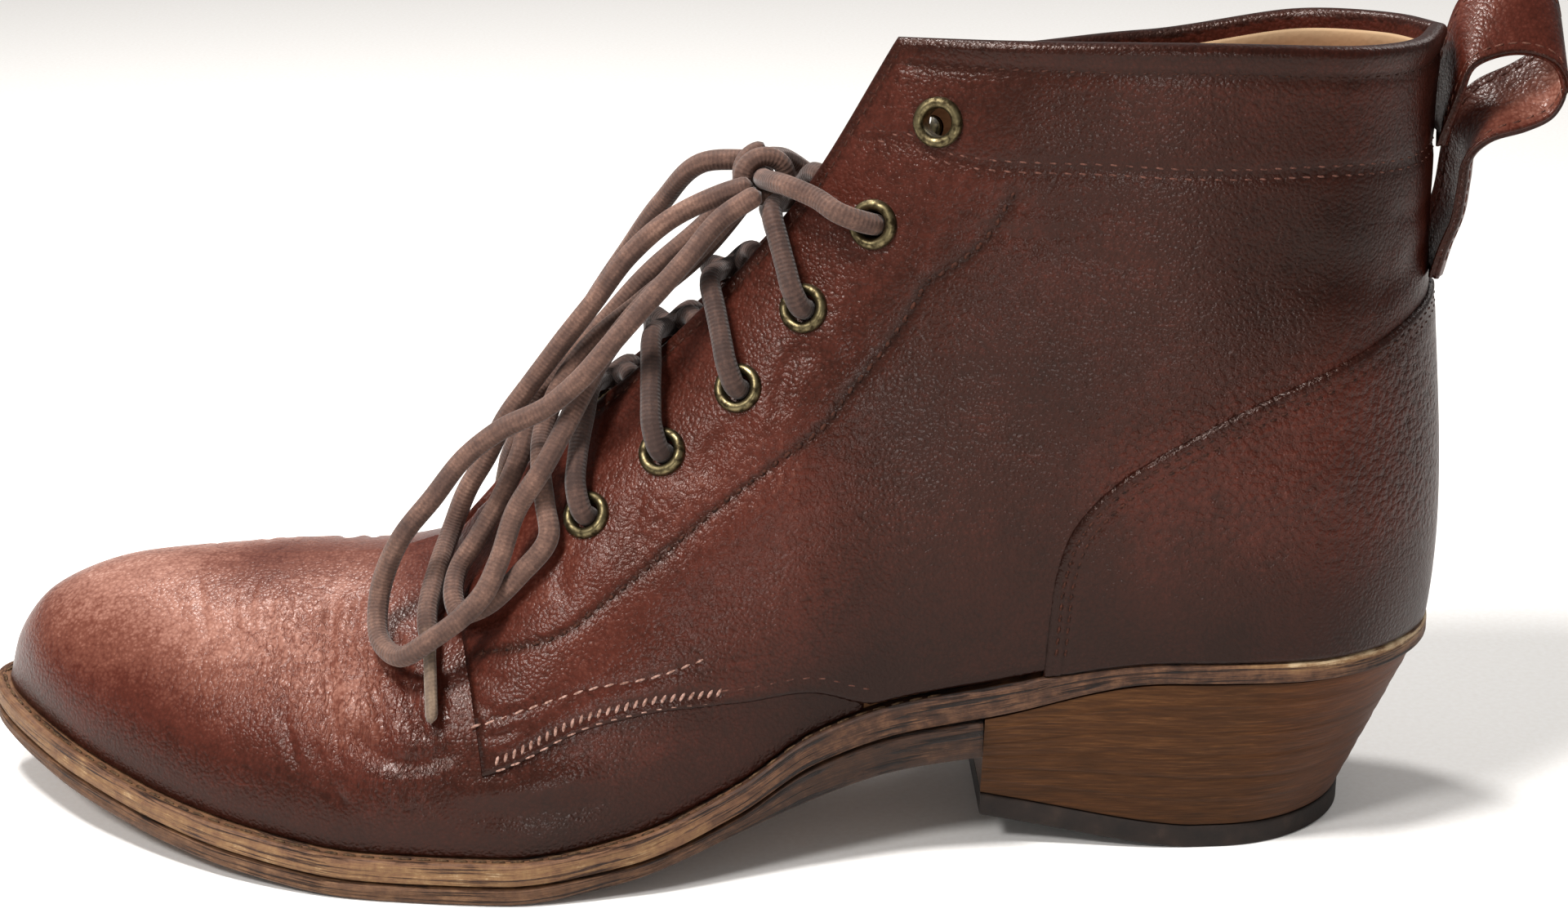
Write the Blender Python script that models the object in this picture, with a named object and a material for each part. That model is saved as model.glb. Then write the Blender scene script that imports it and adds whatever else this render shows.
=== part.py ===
"""Left lace up ankle boot: leather upper, stitched sole, stacked heel, brass eyelets and lace.

Metres, +Z up, toe towards -X, outer side of the foot towards -Y.
The origin is on the floor, under the flat spot of the heel.
"""
import bpy
import bmesh
import numpy as np
from mathutils import Matrix, Vector

# Main sizes of the boot
SOLE_LENGTH = 0.275
BALL_WIDTH = 0.095
SHAFT_HEIGHT = 0.154
WALL = 0.0022
FIT_GAP = 0.0003

# Sole and heel
TOE_ROUND = 0.070
HEEL_ROUND = 0.031
MIDSOLE_FRONT = 0.0046
MIDSOLE_WAIST = 0.0060
MIDSOLE_HEEL = 0.0042
EDGE_ROUND = 0.0006
TREAD_ROUND = 0.0014
INSOLE_THICKNESS = 0.0020
INSOLE_CLEARANCE = 0.0006
BREAST_AT = 0.1885
HEEL_REST_AT = 0.2440
HEEL_INSET = 0.0008
HEEL_PITCH = 0.0135
HEEL_SIDE_TAPER = 0.15
TOP_LIFT = 0.0044
TOP_LIFT_STEP = 0.0003
ROCKER_AT = 0.2280
ROCKER_RISE = 0.0065

# Leather overlays, eyelets and strap
QUARTER_STEP = 0.0011
COUNTER_STEP = 0.0010
OVERLAY_SUNK = 0.0010
INNER_DROP = 0.0110
EYELET_HOLE = 0.0025
EYELET_BARREL = 0.0029
EYELET_FLANGE = 0.0045
EYELET_RAISE = 0.0010
PUNCHED_HOLE = 0.0034
TONGUE_THICKNESS = 0.0018
TONGUE_GAP = 0.0005
STRAP_WIDTH = 0.016
STRAP_THICKNESS = 0.0020
LACE_DIAMETER = 0.0038
LACE_LIFT = 0.0004
LACE_OVER_EDGE = 0.0006
LACE_CROSS_HEIGHT = 0.0014
LACE_SIDE_GAP = 0.0018
OVERLAY_EDGE = (0.975, 0.992)
COUNTER_FOOT = 0.008
TONGUE_STATIONS = (6.25, 9.9)
TONGUE_SIDE = (0.66, 0.12)
TONGUE_EDGE = 0.985

# Outline of the sole edge from toe to heel.
# along is a share of SOLE_LENGTH, the other columns are shares of BALL_WIDTH.
OUTLINE_COLUMNS = ("along", "centre", "outer", "inner")
OUTLINE = (
    (0.000, 0.126, 0.326, 0.295),
    (0.073, 0.121, 0.437, 0.326),
    (0.182, 0.095, 0.514, 0.358),
    (0.291, 0.058, 0.553, 0.421),
    (0.364, 0.032, 0.547, 0.437),
    (0.455, 0.010, 0.487, 0.374),
    (0.545, 0.000, 0.392, 0.289),
    (0.636, 0.000, 0.326, 0.263),
    (0.727, 0.000, 0.312, 0.295),
    (0.836, 0.000, 0.328, 0.326),
    (0.927, 0.000, 0.311, 0.316),
    (1.000, 0.000, 0.284, 0.284),
)

# Side profile of the sole: tread and seat are heights as shares of SOLE_LENGTH,
# welt is how far the upper stands in from the sole edge, a share of BALL_WIDTH.
PROFILE_COLUMNS = ("along", "tread", "seat", "welt")
PROFILE = (
    (0.000, 0.0455, 0.0735, 0.031),
    (0.073, 0.0270, 0.0567, 0.031),
    (0.134, 0.0150, 0.0445, 0.031),
    (0.200, 0.0058, 0.0355, 0.031),
    (0.270, 0.0000, 0.0300, 0.030),
    (0.365, 0.0000, 0.0302, 0.028),
    (0.445, 0.0110, 0.0400, 0.026),
    (0.520, 0.0345, 0.0680, 0.022),
    (0.570, 0.0510, 0.0980, 0.020),
    (0.620, 0.0640, 0.1130, 0.020),
    (0.682, 0.0725, 0.1235, 0.020),
    (0.815, 0.0850, 0.1440, 0.022),
    (1.000, 0.0900, 0.1445, 0.026),
)

# Cross sections of the upper, one row per station from the toe tip to the back seam.
# foot is where the section starts on the sole, a share of SOLE_LENGTH.
# top is where it ends (ridge, throat edge or collar), a share of SOLE_LENGTH.
# middle and open are shares of BALL_WIDTH, high is a share of SHAFT_HEIGHT.
# rise, push, reach, back and down steer the bulge and are shares of BALL_WIDTH.
# sag is the share of INNER_DROP taken off the height on the inner side.
STATION_COLUMNS = ("foot", "top", "middle", "open", "high",
                   "rise", "push", "reach", "back", "down", "sag")
STATIONS = (
    (0.000, 0.0110, 0.126, 0.000, 0.129, 0.000, 0.000, 0.000, 0.000, 0.000, 0.00),
    (0.020, 0.0170, 0.121, 0.000, 0.173, 0.037, 0.005, 0.058, 0.004, 0.000, 0.00),
    (0.048, 0.0380, 0.116, 0.000, 0.234, 0.090, 0.010, 0.135, 0.000, 0.004, 0.00),
    (0.105, 0.1000, 0.105, 0.000, 0.283, 0.145, 0.010, 0.210, 0.000, 0.005, 0.00),
    (0.185, 0.1890, 0.084, 0.000, 0.299, 0.190, 0.016, 0.265, 0.000, 0.012, 0.00),
    (0.275, 0.2690, 0.053, 0.000, 0.311, 0.235, 0.016, 0.295, 0.000, 0.030, 0.00),
    (0.360, 0.3330, 0.012, 0.000, 0.350, 0.275, 0.010, 0.285, 0.000, 0.065, 0.00),
    (0.437, 0.3960, 0.000, 0.068, 0.477, 0.350, 0.005, 0.230, 0.042, 0.085, 0.10),
    (0.513, 0.4840, 0.000, 0.088, 0.625, 0.420, 0.005, 0.205, 0.075, 0.130, 0.30),
    (0.585, 0.5600, 0.000, 0.110, 0.790, 0.500, 0.005, 0.165, 0.085, 0.230, 0.65),
    (0.655, 0.6210, 0.000, 0.137, 0.984, 0.520, 0.010, 0.140, 0.050, 0.360, 1.00),
    (0.735, 0.7090, 0.000, 0.252, 0.995, 0.470, 0.020, 0.020, 0.010, 0.380, 1.00),
    (0.815, 0.7970, 0.000, 0.296, 1.000, 0.420, 0.030, -0.030, 0.000, 0.400, 0.90),
    (0.902, 0.8930, 0.000, 0.270, 0.994, 0.390, 0.036, -0.036, -0.016, 0.410, 0.40),
    (0.967, 0.9580, 0.000, 0.132, 0.986, 0.380, 0.042, -0.026, -0.042, 0.420, 0.08),
    (1.000, 0.9790, 0.000, 0.000, 0.986, 0.380, 0.042, 0.000, -0.050, 0.420, 0.00),
)
THROAT = 6.0
CORNER = 10.0
BACK_SEAM = 15.0

# Lower edge of the quarter: station and share of the section's height
QUARTER_EDGE = ((5.95, 0.215), (6.15, 0.225), (6.85, 0.290), (7.95, 0.180),
                (8.85, 0.070), (9.45, 0.006), (15.0, 0.004))
# Top edge of the heel counter
COUNTER_EDGE = ((10.85, 0.020), (10.92, 0.140), (11.10, 0.225), (11.94, 0.360),
                (12.92, 0.480), (14.00, 0.560), (15.0, 0.585))
# Eyelets of one side from the collar down: station and share of the section's height
EYELETS = ((10.226, 0.867), (9.553, 0.792), (8.838, 0.784), (8.265, 0.742), (7.688, 0.735), (7.144, 0.710))
# Lace between the facings, one row per crossing from the bottom: the eyelet it leaves,
# the station where it passes the facing's edge, where the laces cross and where it ends.
CROSSINGS = ((6, 7.42, 7.50, 7.60), (5, 7.86, 7.97, 8.08), (4, 8.33, 8.47, 8.60), (3, 8.86, 9.02, 9.17))

# Pull strap at the back from its lower end up and round to its upper end:
# distance from the toe, height and twist in degrees.
STRAP = (
    (0.2720, 0.1062, 0.0), (0.2732, 0.1115, 0.0), (0.2751, 0.1180, 4.0), (0.2757, 0.1245, 8.0),
    (0.2763, 0.1305, 14.0), (0.2797, 0.1354, 20.0), (0.2850, 0.1382, 24.0), (0.2896, 0.1415, 26.0),
    (0.2913, 0.1465, 26.0), (0.2893, 0.1512, 26.0), (0.2842, 0.1535, 24.0), (0.2785, 0.1528, 18.0),
    (0.2742, 0.1500, 10.0), (0.2724, 0.1450, 4.0), (0.2715, 0.1385, 0.0), (0.2712, 0.1320, 0.0),
)

# Routes of the free lace: distance from the toe, side and height of each bend
KNOT_ROUTE = (
    (0.1600, -0.0225, 0.1224), (0.1566, -0.0195, 0.1240), (0.1515, -0.0160, 0.1254),
    (0.1482, -0.0095, 0.1246), (0.1476, 0.0000, 0.1229), (0.1484, 0.0095, 0.1236),
    (0.1520, 0.0160, 0.1219), (0.1566, 0.0200, 0.1179),
)
NEAR_LOOP_ROUTE = (
    (0.1469, -0.0129, 0.1234), (0.1396, -0.0130, 0.1183), (0.1343, -0.0160, 0.1127),
    (0.1272, -0.0190, 0.1052), (0.1209, -0.0210, 0.0984), (0.1146, -0.0215, 0.0910),
    (0.1092, -0.0215, 0.0862), (0.1001, -0.0200, 0.0809), (0.0937, -0.0190, 0.0754),
    (0.0878, -0.0200, 0.0679), (0.0818, -0.0210, 0.0603), (0.0776, -0.0215, 0.0485),
    (0.0783, -0.0278, 0.0431), (0.0821, -0.0330, 0.0423), (0.0883, -0.0356, 0.0469),
    (0.0932, -0.0345, 0.0503), (0.0975, -0.0325, 0.0545), (0.0999, -0.0298, 0.0591),
    (0.1031, -0.0260, 0.0678), (0.1080, -0.0255, 0.0757), (0.1116, -0.0215, 0.0815),
    (0.1154, -0.0170, 0.0880), (0.1192, -0.0125, 0.0935), (0.1256, -0.0095, 0.1010),
    (0.1345, -0.0072, 0.1098), (0.1461, -0.0046, 0.1220),
)
NEAR_END_ROUTE = (
    (0.1456, -0.0082, 0.1235), (0.1397, -0.0070, 0.1212), (0.1306, -0.0075, 0.1167),
    (0.1234, -0.0080, 0.1103), (0.1172, -0.0080, 0.1018), (0.1107, -0.0080, 0.0932),
    (0.1051, -0.0080, 0.0855), (0.1004, -0.0080, 0.0787), (0.0969, -0.0075, 0.0712),
    (0.0933, -0.0070, 0.0649), (0.0904, -0.0070, 0.0574), (0.0879, -0.0158, 0.0518),
    (0.0866, -0.0237, 0.0474), (0.0874, -0.0318, 0.0420), (0.0882, -0.0409, 0.0327),
)
FAR_LOOP_ROUTE = (
    (0.1463, 0.0000, 0.1212), (0.1362, -0.0008, 0.1085), (0.1256, -0.0030, 0.1000),
    (0.1163, -0.0052, 0.0925), (0.1105, -0.0085, 0.0852), (0.1077, -0.0130, 0.0785),
    (0.1074, -0.0200, 0.0734), (0.1083, -0.0243, 0.0679), (0.1090, -0.0273, 0.0636),
    (0.1038, -0.0292, 0.0568), (0.0962, -0.0290, 0.0499), (0.0926, -0.0269, 0.0482),
    (0.0914, -0.0238, 0.0501), (0.0920, -0.0191, 0.0536), (0.0957, -0.0173, 0.0593),
    (0.1001, -0.0147, 0.0667), (0.1035, -0.0120, 0.0740), (0.1052, -0.0060, 0.0795),
    (0.1105, -0.0015, 0.0860), (0.1186, 0.0020, 0.0945), (0.1276, 0.0040, 0.1040),
    (0.1366, 0.0060, 0.1115), (0.1462, 0.0048, 0.1217),
)
FAR_END_ROUTE = (
    (0.1460, 0.0094, 0.1234), (0.1370, 0.0110, 0.1225), (0.1290, 0.0170, 0.1130),
    (0.1215, 0.0225, 0.1005), (0.1140, 0.0265, 0.0875), (0.1070, 0.0300, 0.0745),
    (0.1010, 0.0340, 0.0615), (0.0970, 0.0400, 0.0490), (0.0950, 0.0445, 0.0375),
)


def smooth_read(places, values, at):
    """Cubic through the given values that never overshoots them, read at any place."""
    places = np.asarray(places, float)
    values = np.asarray(values, float)
    at = np.asarray(at, float)
    steps = np.diff(places)
    slopes = np.diff(values) / steps
    lean = np.empty_like(values)
    lean[0] = slopes[0]
    lean[-1] = slopes[-1]
    product = slopes[:-1] * slopes[1:]
    total = slopes[:-1] + slopes[1:]
    total = np.where(total == 0.0, 1.0, total)
    lean[1:-1] = np.where(product > 0.0, 2.0 * product / total, 0.0)
    k = np.clip(np.searchsorted(places, at, side="right") - 1, 0, len(steps) - 1)
    h = steps[k]
    w = np.clip((at - places[k]) / h, 0.0, 1.0)
    start = (1 + 2 * w) * (1 - w) ** 2 * values[k] + w * (1 - w) ** 2 * h * lean[k]
    end = w * w * (3 - 2 * w) * values[k + 1] + w * w * (w - 1) * h * lean[k + 1]
    return start + end


def column(table, names, name):
    """One named column of a table."""
    k = names.index(name)
    return np.array([row[k] for row in table], float)


def sole_value(name, s):
    """A column of the sole profile at the distance s from the toe."""
    along = column(PROFILE, PROFILE_COLUMNS, "along")
    return smooth_read(along, column(PROFILE, PROFILE_COLUMNS, name), s / SOLE_LENGTH)


def tread_height(s):
    """Height of the outsole's underside."""
    return SOLE_LENGTH * sole_value("tread", s)


def seat_height(s):
    """Height of the midsole's top, where the upper stands."""
    return SOLE_LENGTH * sole_value("seat", s)


def midsole_thickness(s):
    """Thickness of the midsole: thicker in the waist, thin at the heel seat."""
    places = (0.0, 0.40, 0.60, 0.69, 0.80, 1.0)
    values = (MIDSOLE_FRONT, MIDSOLE_FRONT, MIDSOLE_WAIST, MIDSOLE_WAIST, MIDSOLE_HEEL, MIDSOLE_HEEL)
    return smooth_read(places, values, s / SOLE_LENGTH)


def midsole_underside(s):
    """Height of the midsole's underside."""
    return seat_height(s) - midsole_thickness(s)


def rocker_height(s):
    """Height of the heel's underside: flat at the back, worn up towards the breast."""
    share = np.clip((ROCKER_AT - s) / (ROCKER_AT - BREAST_AT), 0.0, 1.0)
    return ROCKER_RISE * share ** 1.3


def edge_curve(turn, side):
    """Sole edge at turn 0 (toe tip) to 1 (heel back) on one side, as s and y."""
    s = SOLE_LENGTH * (1.0 - np.cos(np.pi * turn)) / 2.0
    along = column(OUTLINE, OUTLINE_COLUMNS, "along")
    centre = smooth_read(along, column(OUTLINE, OUTLINE_COLUMNS, "centre"), s / SOLE_LENGTH)
    name = "outer" if side < 0 else "inner"
    width = smooth_read(along, column(OUTLINE, OUTLINE_COLUMNS, name), s / SOLE_LENGTH)
    toe = np.sqrt(1.0 - (1.0 - np.clip(s / TOE_ROUND, 0.0, 1.0)) ** 2)
    heel = np.sqrt(1.0 - (1.0 - np.clip((SOLE_LENGTH - s) / HEEL_ROUND, 0.0, 1.0)) ** 2)
    return s, BALL_WIDTH * (centre + side * width * toe * heel)


def edge_point(turn, side, inset):
    """Sole edge moved inwards by inset, as s and y."""
    step = 1e-4
    turn = np.asarray(turn, float)
    before = np.clip(turn - step, 0.0, 1.0)
    after = np.clip(turn + step, 0.0, 1.0)
    s, y = edge_curve(turn, side)
    s0, y0 = edge_curve(before, side)
    s1, y1 = edge_curve(after, side)
    ds = s1 - s0
    dy = side * (y1 - y0)
    length = np.hypot(ds, dy)
    ends = (turn <= 0.0) | (turn >= 1.0)
    ds = np.where(ends, 0.0, ds / length)
    dy = np.where(ends, np.where(turn <= 0.0, 1.0, -1.0), dy / length)
    return s + inset * dy, y - side * inset * ds


def turn_at(along):
    """Turn of the sole edge at a share of its length."""
    return np.arccos(1.0 - 2.0 * np.clip(along, 0.0, 1.0)) / np.pi


def station_value(name, u):
    """A column of the section table at station u; the top line may bend at throat and corner."""
    values = column(STATIONS, STATION_COLUMNS, name)
    rows = np.arange(len(values), dtype=float)
    if name == "foot":
        values = turn_at(values)
    if name not in ("top", "middle", "open", "high", "sag"):
        return smooth_read(rows, values, u)
    corner = int(CORNER)
    throat = int(THROAT)
    front = smooth_read(rows[:throat + 1], values[:throat + 1], u)
    facing = smooth_read(rows[throat:corner + 1], values[throat:corner + 1], u)
    collar = smooth_read(rows[corner:], values[corner:], u)
    return np.where(u <= THROAT, front, np.where(u <= CORNER, facing, collar))


def section_point(u, v, side):
    """Point of the upper's surface: station u, share v of the section from sole to top."""
    u, v = np.broadcast_arrays(np.asarray(u, float), np.asarray(v, float))
    turn = station_value("foot", u)
    edge_s, edge_y = edge_curve(turn, side)
    welt = BALL_WIDTH * sole_value("welt", edge_s)
    foot_s, foot_y = edge_point(turn, side, welt)
    foot_z = seat_height(foot_s) + FIT_GAP
    out_s, out_y = edge_point(turn, side, welt - 0.001)
    out_s = (out_s - foot_s) / 0.001
    out_y = (out_y - foot_y) / 0.001
    top_s = SOLE_LENGTH * station_value("top", u)
    top_y = BALL_WIDTH * (station_value("middle", u) + side * station_value("open", u))
    top_z = SHAFT_HEIGHT * station_value("high", u)
    if side > 0:
        top_z = top_z - INNER_DROP * station_value("sag", u)
    tip_s, tip_y = edge_point(0.0, side, BALL_WIDTH * float(sole_value("welt", 0.0)))
    pole = np.clip(u, 0.0, 1.0)
    top_s = tip_s * (1.0 - pole) + top_s * pole
    top_y = tip_y * (1.0 - pole) + top_y * pole
    top_z = (seat_height(tip_s) + FIT_GAP) * (1.0 - pole) + top_z * pole
    rise = BALL_WIDTH * station_value("rise", u)
    push = BALL_WIDTH * station_value("push", u)
    reach = BALL_WIDTH * station_value("reach", u)
    back = BALL_WIDTH * station_value("back", u)
    down = BALL_WIDTH * station_value("down", u)
    start = np.stack([foot_s, foot_y, foot_z], -1)
    leave = np.stack([foot_s + push * out_s, foot_y + push * out_y, foot_z + rise], -1)
    arrive = np.stack([top_s + back, top_y + side * reach, top_z - down], -1)
    end = np.stack([top_s, top_y, top_z], -1)
    w = v[..., None]
    near = (1 - w) ** 3 * start + 3 * w * (1 - w) ** 2 * leave
    far = 3 * w * w * (1 - w) * arrive + w ** 3 * end
    return near + far


def upper_point(u, v, side, lift=0.0):
    """Section point moved outwards by lift along the surface's normal, as s, y and z."""
    u, v = np.broadcast_arrays(np.asarray(u, float), np.asarray(v, float))
    step = 1e-3
    here = section_point(u, v, side)
    base = np.maximum(u, 0.02)
    before = section_point(np.maximum(base - step, 0.01), v, side)
    along = section_point(np.minimum(base + step, BACK_SEAM), v, side) - before
    crest = section_point(base, v, side) - before
    up = (section_point(base, np.minimum(v + step, 1.0), side)
          - section_point(base, np.maximum(v - step, 0.0), side))
    normal = side * np.cross(up, along)
    ridge = (v >= 1.0) & (u <= THROAT)
    seam = u >= BACK_SEAM
    flat_ridge = np.stack([-crest[..., 2], np.zeros_like(v), crest[..., 0]], -1)
    flat_seam = np.stack([up[..., 2], np.zeros_like(v), -up[..., 0]], -1)
    normal = np.where(ridge[..., None], flat_ridge, normal)
    normal = np.where(seam[..., None], flat_seam, normal)
    normal = np.where((u <= 0.0)[..., None], np.array([-1.0, 0.0, 0.0]), normal)
    normal = normal / np.linalg.norm(normal, axis=-1, keepdims=True)
    moved = here + lift * normal
    foot = v <= 0.0
    moved[..., 2] = np.where(foot, here[..., 2], moved[..., 2])
    return moved


def to_world(points):
    """Distance from the toe becomes X, measured from the heel's flat spot."""
    points = np.array(points, float)
    points[..., 0] -= HEEL_REST_AT
    return points


class Sheet:
    """Collects faces of grids and closes them into one mesh."""

    def __init__(self):
        self.points = []
        self.faces = []

    def add(self, points):
        """Add points and return their index grid."""
        points = np.asarray(points, float)
        start = sum(len(block) for block in self.points)
        self.points.append(points.reshape(-1, 3))
        return np.arange(start, start + points[..., 0].size).reshape(points.shape[:-1])

    def quads(self, grid):
        """Faces between neighbouring rows and columns of an index grid."""
        a = grid[:-1, :-1].ravel()
        b = grid[1:, :-1].ravel()
        c = grid[1:, 1:].ravel()
        d = grid[:-1, 1:].ravel()
        self.faces += [tuple(int(i) for i in face) for face in zip(a, b, c, d)]

    def strip(self, first, second):
        """Faces between two rows of indices."""
        self.quads(np.stack([first, second]))

    def build(self, name, material):
        """Merge the shared points and make the object."""
        mesh = bpy.data.meshes.new(name)
        points = to_world(np.concatenate(self.points))
        mesh.from_pydata(points.tolist(), [], self.faces)
        obj = bpy.data.objects.new(name, mesh)
        bpy.context.scene.collection.objects.link(obj)
        obj.data.materials.append(material)
        tidy_mesh(obj)
        return obj


def tidy_mesh(obj):
    """Merge coincident points, drop empty faces, turn all faces outwards."""
    bm = bmesh.new()
    bm.from_mesh(obj.data)
    bmesh.ops.remove_doubles(bm, verts=bm.verts, dist=1e-6)
    bmesh.ops.dissolve_degenerate(bm, dist=1e-7, edges=bm.edges)
    bmesh.ops.recalc_face_normals(bm, faces=bm.faces)
    bm.to_mesh(obj.data)
    bm.free()
    obj.data.shade_smooth()


def make_material(name, colour, roughness, metallic=0.0):
    """Plain material with one colour."""
    material = bpy.data.materials.new(name)
    material.use_nodes = True
    shader = material.node_tree.nodes["Principled BSDF"]
    shader.inputs["Base Color"].default_value = (*colour, 1.0)
    shader.inputs["Roughness"].default_value = roughness
    shader.inputs["Metallic"].default_value = metallic
    material.diffuse_color = (*colour, 1.0)
    return material


def apply_boolean(obj, other, operation):
    """Join or cut with another object, then remove it."""
    other.display_type = "WIRE"
    other.hide_render = True
    modifier = obj.modifiers.new("shape", "BOOLEAN")
    modifier.operation = operation
    modifier.solver = "EXACT"
    modifier.object = other
    graph = bpy.context.evaluated_depsgraph_get()
    mesh = bpy.data.meshes.new_from_object(obj.evaluated_get(graph))
    obj.modifiers.clear()
    obj.data = mesh
    bpy.data.objects.remove(other)
    obj.data.shade_smooth()


def make_slab(name, material, levels, turns, closed_heel):
    """Solid with the sole's outline; each level is an inset and a height function, top first."""
    sheet = Sheet()
    rows = {-1: [], 1: []}
    for side in (-1, 1):
        for inset, height in levels:
            s, y = edge_point(turns, side, inset)
            rows[side].append(sheet.add(np.stack([s, y, height(s)], -1)))
        sheet.quads(np.stack(rows[side]))
    sheet.strip(rows[-1][0], rows[1][0])
    sheet.strip(rows[-1][-1], rows[1][-1])
    if not closed_heel:
        last = np.stack([[row[-1] for row in rows[side]] for side in (-1, 1)])
        sheet.quads(last)
    return sheet.build(name, material)


def make_sole_parts(materials):
    """Outsole, midsole and insole."""
    breast_turn = float(turn_at((BREAST_AT - FIT_GAP) / SOLE_LENGTH))
    front = np.linspace(0.0, breast_turn, 30)
    full = np.concatenate([front, np.linspace(breast_turn, 1.0, 16)[1:]])
    make_slab("outsole", materials["outsole"], (
        (EDGE_ROUND, lambda s: midsole_underside(s) - FIT_GAP),
        (0.0, lambda s: midsole_underside(s) - FIT_GAP - EDGE_ROUND),
        (0.0, lambda s: tread_height(s) + TREAD_ROUND),
        (TREAD_ROUND, tread_height)), front, False)
    make_slab("midsole", materials["midsole"], (
        (EDGE_ROUND, seat_height),
        (0.0, lambda s: seat_height(s) - EDGE_ROUND),
        (0.0, lambda s: midsole_underside(s) + EDGE_ROUND),
        (EDGE_ROUND, midsole_underside)), full, True)
    inset = BALL_WIDTH * 0.031 + WALL + INSOLE_CLEARANCE
    make_slab("insole", materials["insole"], (
        (inset, lambda s: seat_height(s) + 2 * FIT_GAP + INSOLE_THICKNESS),
        (inset, lambda s: seat_height(s) + 2 * FIT_GAP)), full, True)


def heel_ring(inset, drop):
    """Closed outline of the heel: drop 0 at the midsole to 1 at the top lift."""
    breast_turn = float(turn_at((BREAST_AT + 0.001) / SOLE_LENGTH))
    turns = np.linspace(breast_turn, 1.0, 14)
    outer_s, outer_y = edge_point(turns, -1, inset)
    inner_s, inner_y = edge_point(turns[:-1][::-1], 1, inset)
    s = np.concatenate([outer_s, inner_s])
    y = np.concatenate([outer_y, inner_y])
    front = float(min(outer_s[0], inner_s[-1]))
    s[0] = front
    s[-1] = front
    length = SOLE_LENGTH - front
    s = BREAST_AT + (s - front) * (1.0 - drop * HEEL_PITCH / length)
    return s, y * (1.0 - drop * HEEL_SIDE_TAPER)


def make_heel_block(name, material, levels):
    """Solid of the heel; each level is an inset, a drop and a height function, top first."""
    sheet = Sheet()
    rings = []
    for inset, drop, height in levels:
        s, y = heel_ring(inset, drop)
        rings.append(sheet.add(np.stack([s, y, height(s)], -1)))
    walls = np.stack([np.append(ring, ring[0]) for ring in rings])
    sheet.quads(walls)
    for ring in (rings[0], rings[-1]):
        half = len(ring) // 2
        sheet.strip(ring[:half + 1], ring[::-1][:half + 1])
    return sheet.build(name, material)


def make_heel(materials):
    """Stacked leather block and the lift that stands on the floor."""
    def stack_top(s):
        return midsole_underside(s) - FIT_GAP

    def lift_top(s):
        return rocker_height(s) + TOP_LIFT

    levels = []
    for drop in (0.0, 0.25, 0.5, 0.75, 1.0):
        levels.append((HEEL_INSET, drop, lambda s, drop=drop: (
            (1 - drop) * stack_top(s) + drop * (lift_top(s) + FIT_GAP))))
    make_heel_block("heel_stack", materials["heel"], levels)
    step = HEEL_INSET - TOP_LIFT_STEP
    make_heel_block("heel_top_lift", materials["lift"], (
        (step, 1.0, lift_top),
        (step, 1.0, lambda s: rocker_height(s) + EDGE_ROUND),
        (step + EDGE_ROUND, 1.0, rocker_height)))


def section_rows(low, high, count):
    """Shares of the section between two edges, one row of the grid each."""
    share = np.linspace(0.0, 1.0, count)
    return low[:, None] + (high - low)[:, None] * share[None, :]


def make_base_shell(name, material):
    """The upper's own wall, open underneath, at the throat and at the collar."""
    sheet = Sheet()
    u = np.concatenate([np.array([0.0, 0.35, 0.7]), np.linspace(1.0, THROAT, 15),
                        np.linspace(THROAT, CORNER, 12)[1:], np.linspace(CORNER, BACK_SEAM, 14)[1:]])
    v = section_rows(np.zeros_like(u), np.ones_like(u), 10)
    opened = int(np.searchsorted(u, THROAT))
    for side in (-1, 1):
        outside = sheet.add(upper_point(u[:, None], v, side))
        inside = sheet.add(upper_point(u[:, None], v, side, -WALL))
        sheet.quads(outside)
        sheet.quads(inside)
        sheet.strip(outside[:, 0], inside[:, 0])
        sheet.strip(outside[opened:, -1], inside[opened:, -1])
    return sheet.build(name, material)


def make_overlay(name, material, u, low, high, rows, sunk, lift):
    """Panel of leather over both sides, joined across the back seam."""
    sheet = Sheet()
    v = section_rows(low, high, rows)
    for side in (-1, 1):
        outside = sheet.add(upper_point(u[:, None], v, side, lift))
        inside = sheet.add(upper_point(u[:, None], v, side, sunk))
        sheet.quads(outside)
        sheet.quads(inside)
        sheet.strip(outside[:, 0], inside[:, 0])
        sheet.strip(outside[:, -1], inside[:, -1])
        sheet.strip(outside[0], inside[0])
    return sheet.build(name, material)


def read_edge(table, u):
    """Share of the section's height of a panel edge at station u."""
    places = [row[0] for row in table]
    return smooth_read(places, [row[1] for row in table], u)


def normal_at(u, v, side):
    """Surface point and outward normal at one place, as vectors in the world."""
    here = to_world(upper_point(u, v, side))
    out = to_world(upper_point(u, v, side, 0.001))
    return Vector(here.tolist()), Vector((out - here).tolist()).normalized()


def turned_solid(name, material, profile, centre, axis, count):
    """Closed ring turned from a profile of radius and height pairs."""
    turn = Vector((0, 0, 1)).rotation_difference(axis)
    points = []
    faces = []
    size = len(profile)
    for k in range(count):
        angle = 2 * np.pi * k / count
        for radius, height in profile:
            local = Vector((radius * np.cos(angle), radius * np.sin(angle), height))
            points.append(centre + turn @ local)
    for k in range(count):
        for j in range(size):
            other = (j + 1) % size
            after = (k + 1) % count
            faces.append((k * size + j, after * size + j, after * size + other, k * size + other))
    mesh = bpy.data.meshes.new(name)
    mesh.from_pydata([tuple(p) for p in points], [], faces)
    obj = bpy.data.objects.new(name, mesh)
    bpy.context.scene.collection.objects.link(obj)
    obj.data.materials.append(material)
    tidy_mesh(obj)
    return obj


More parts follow.
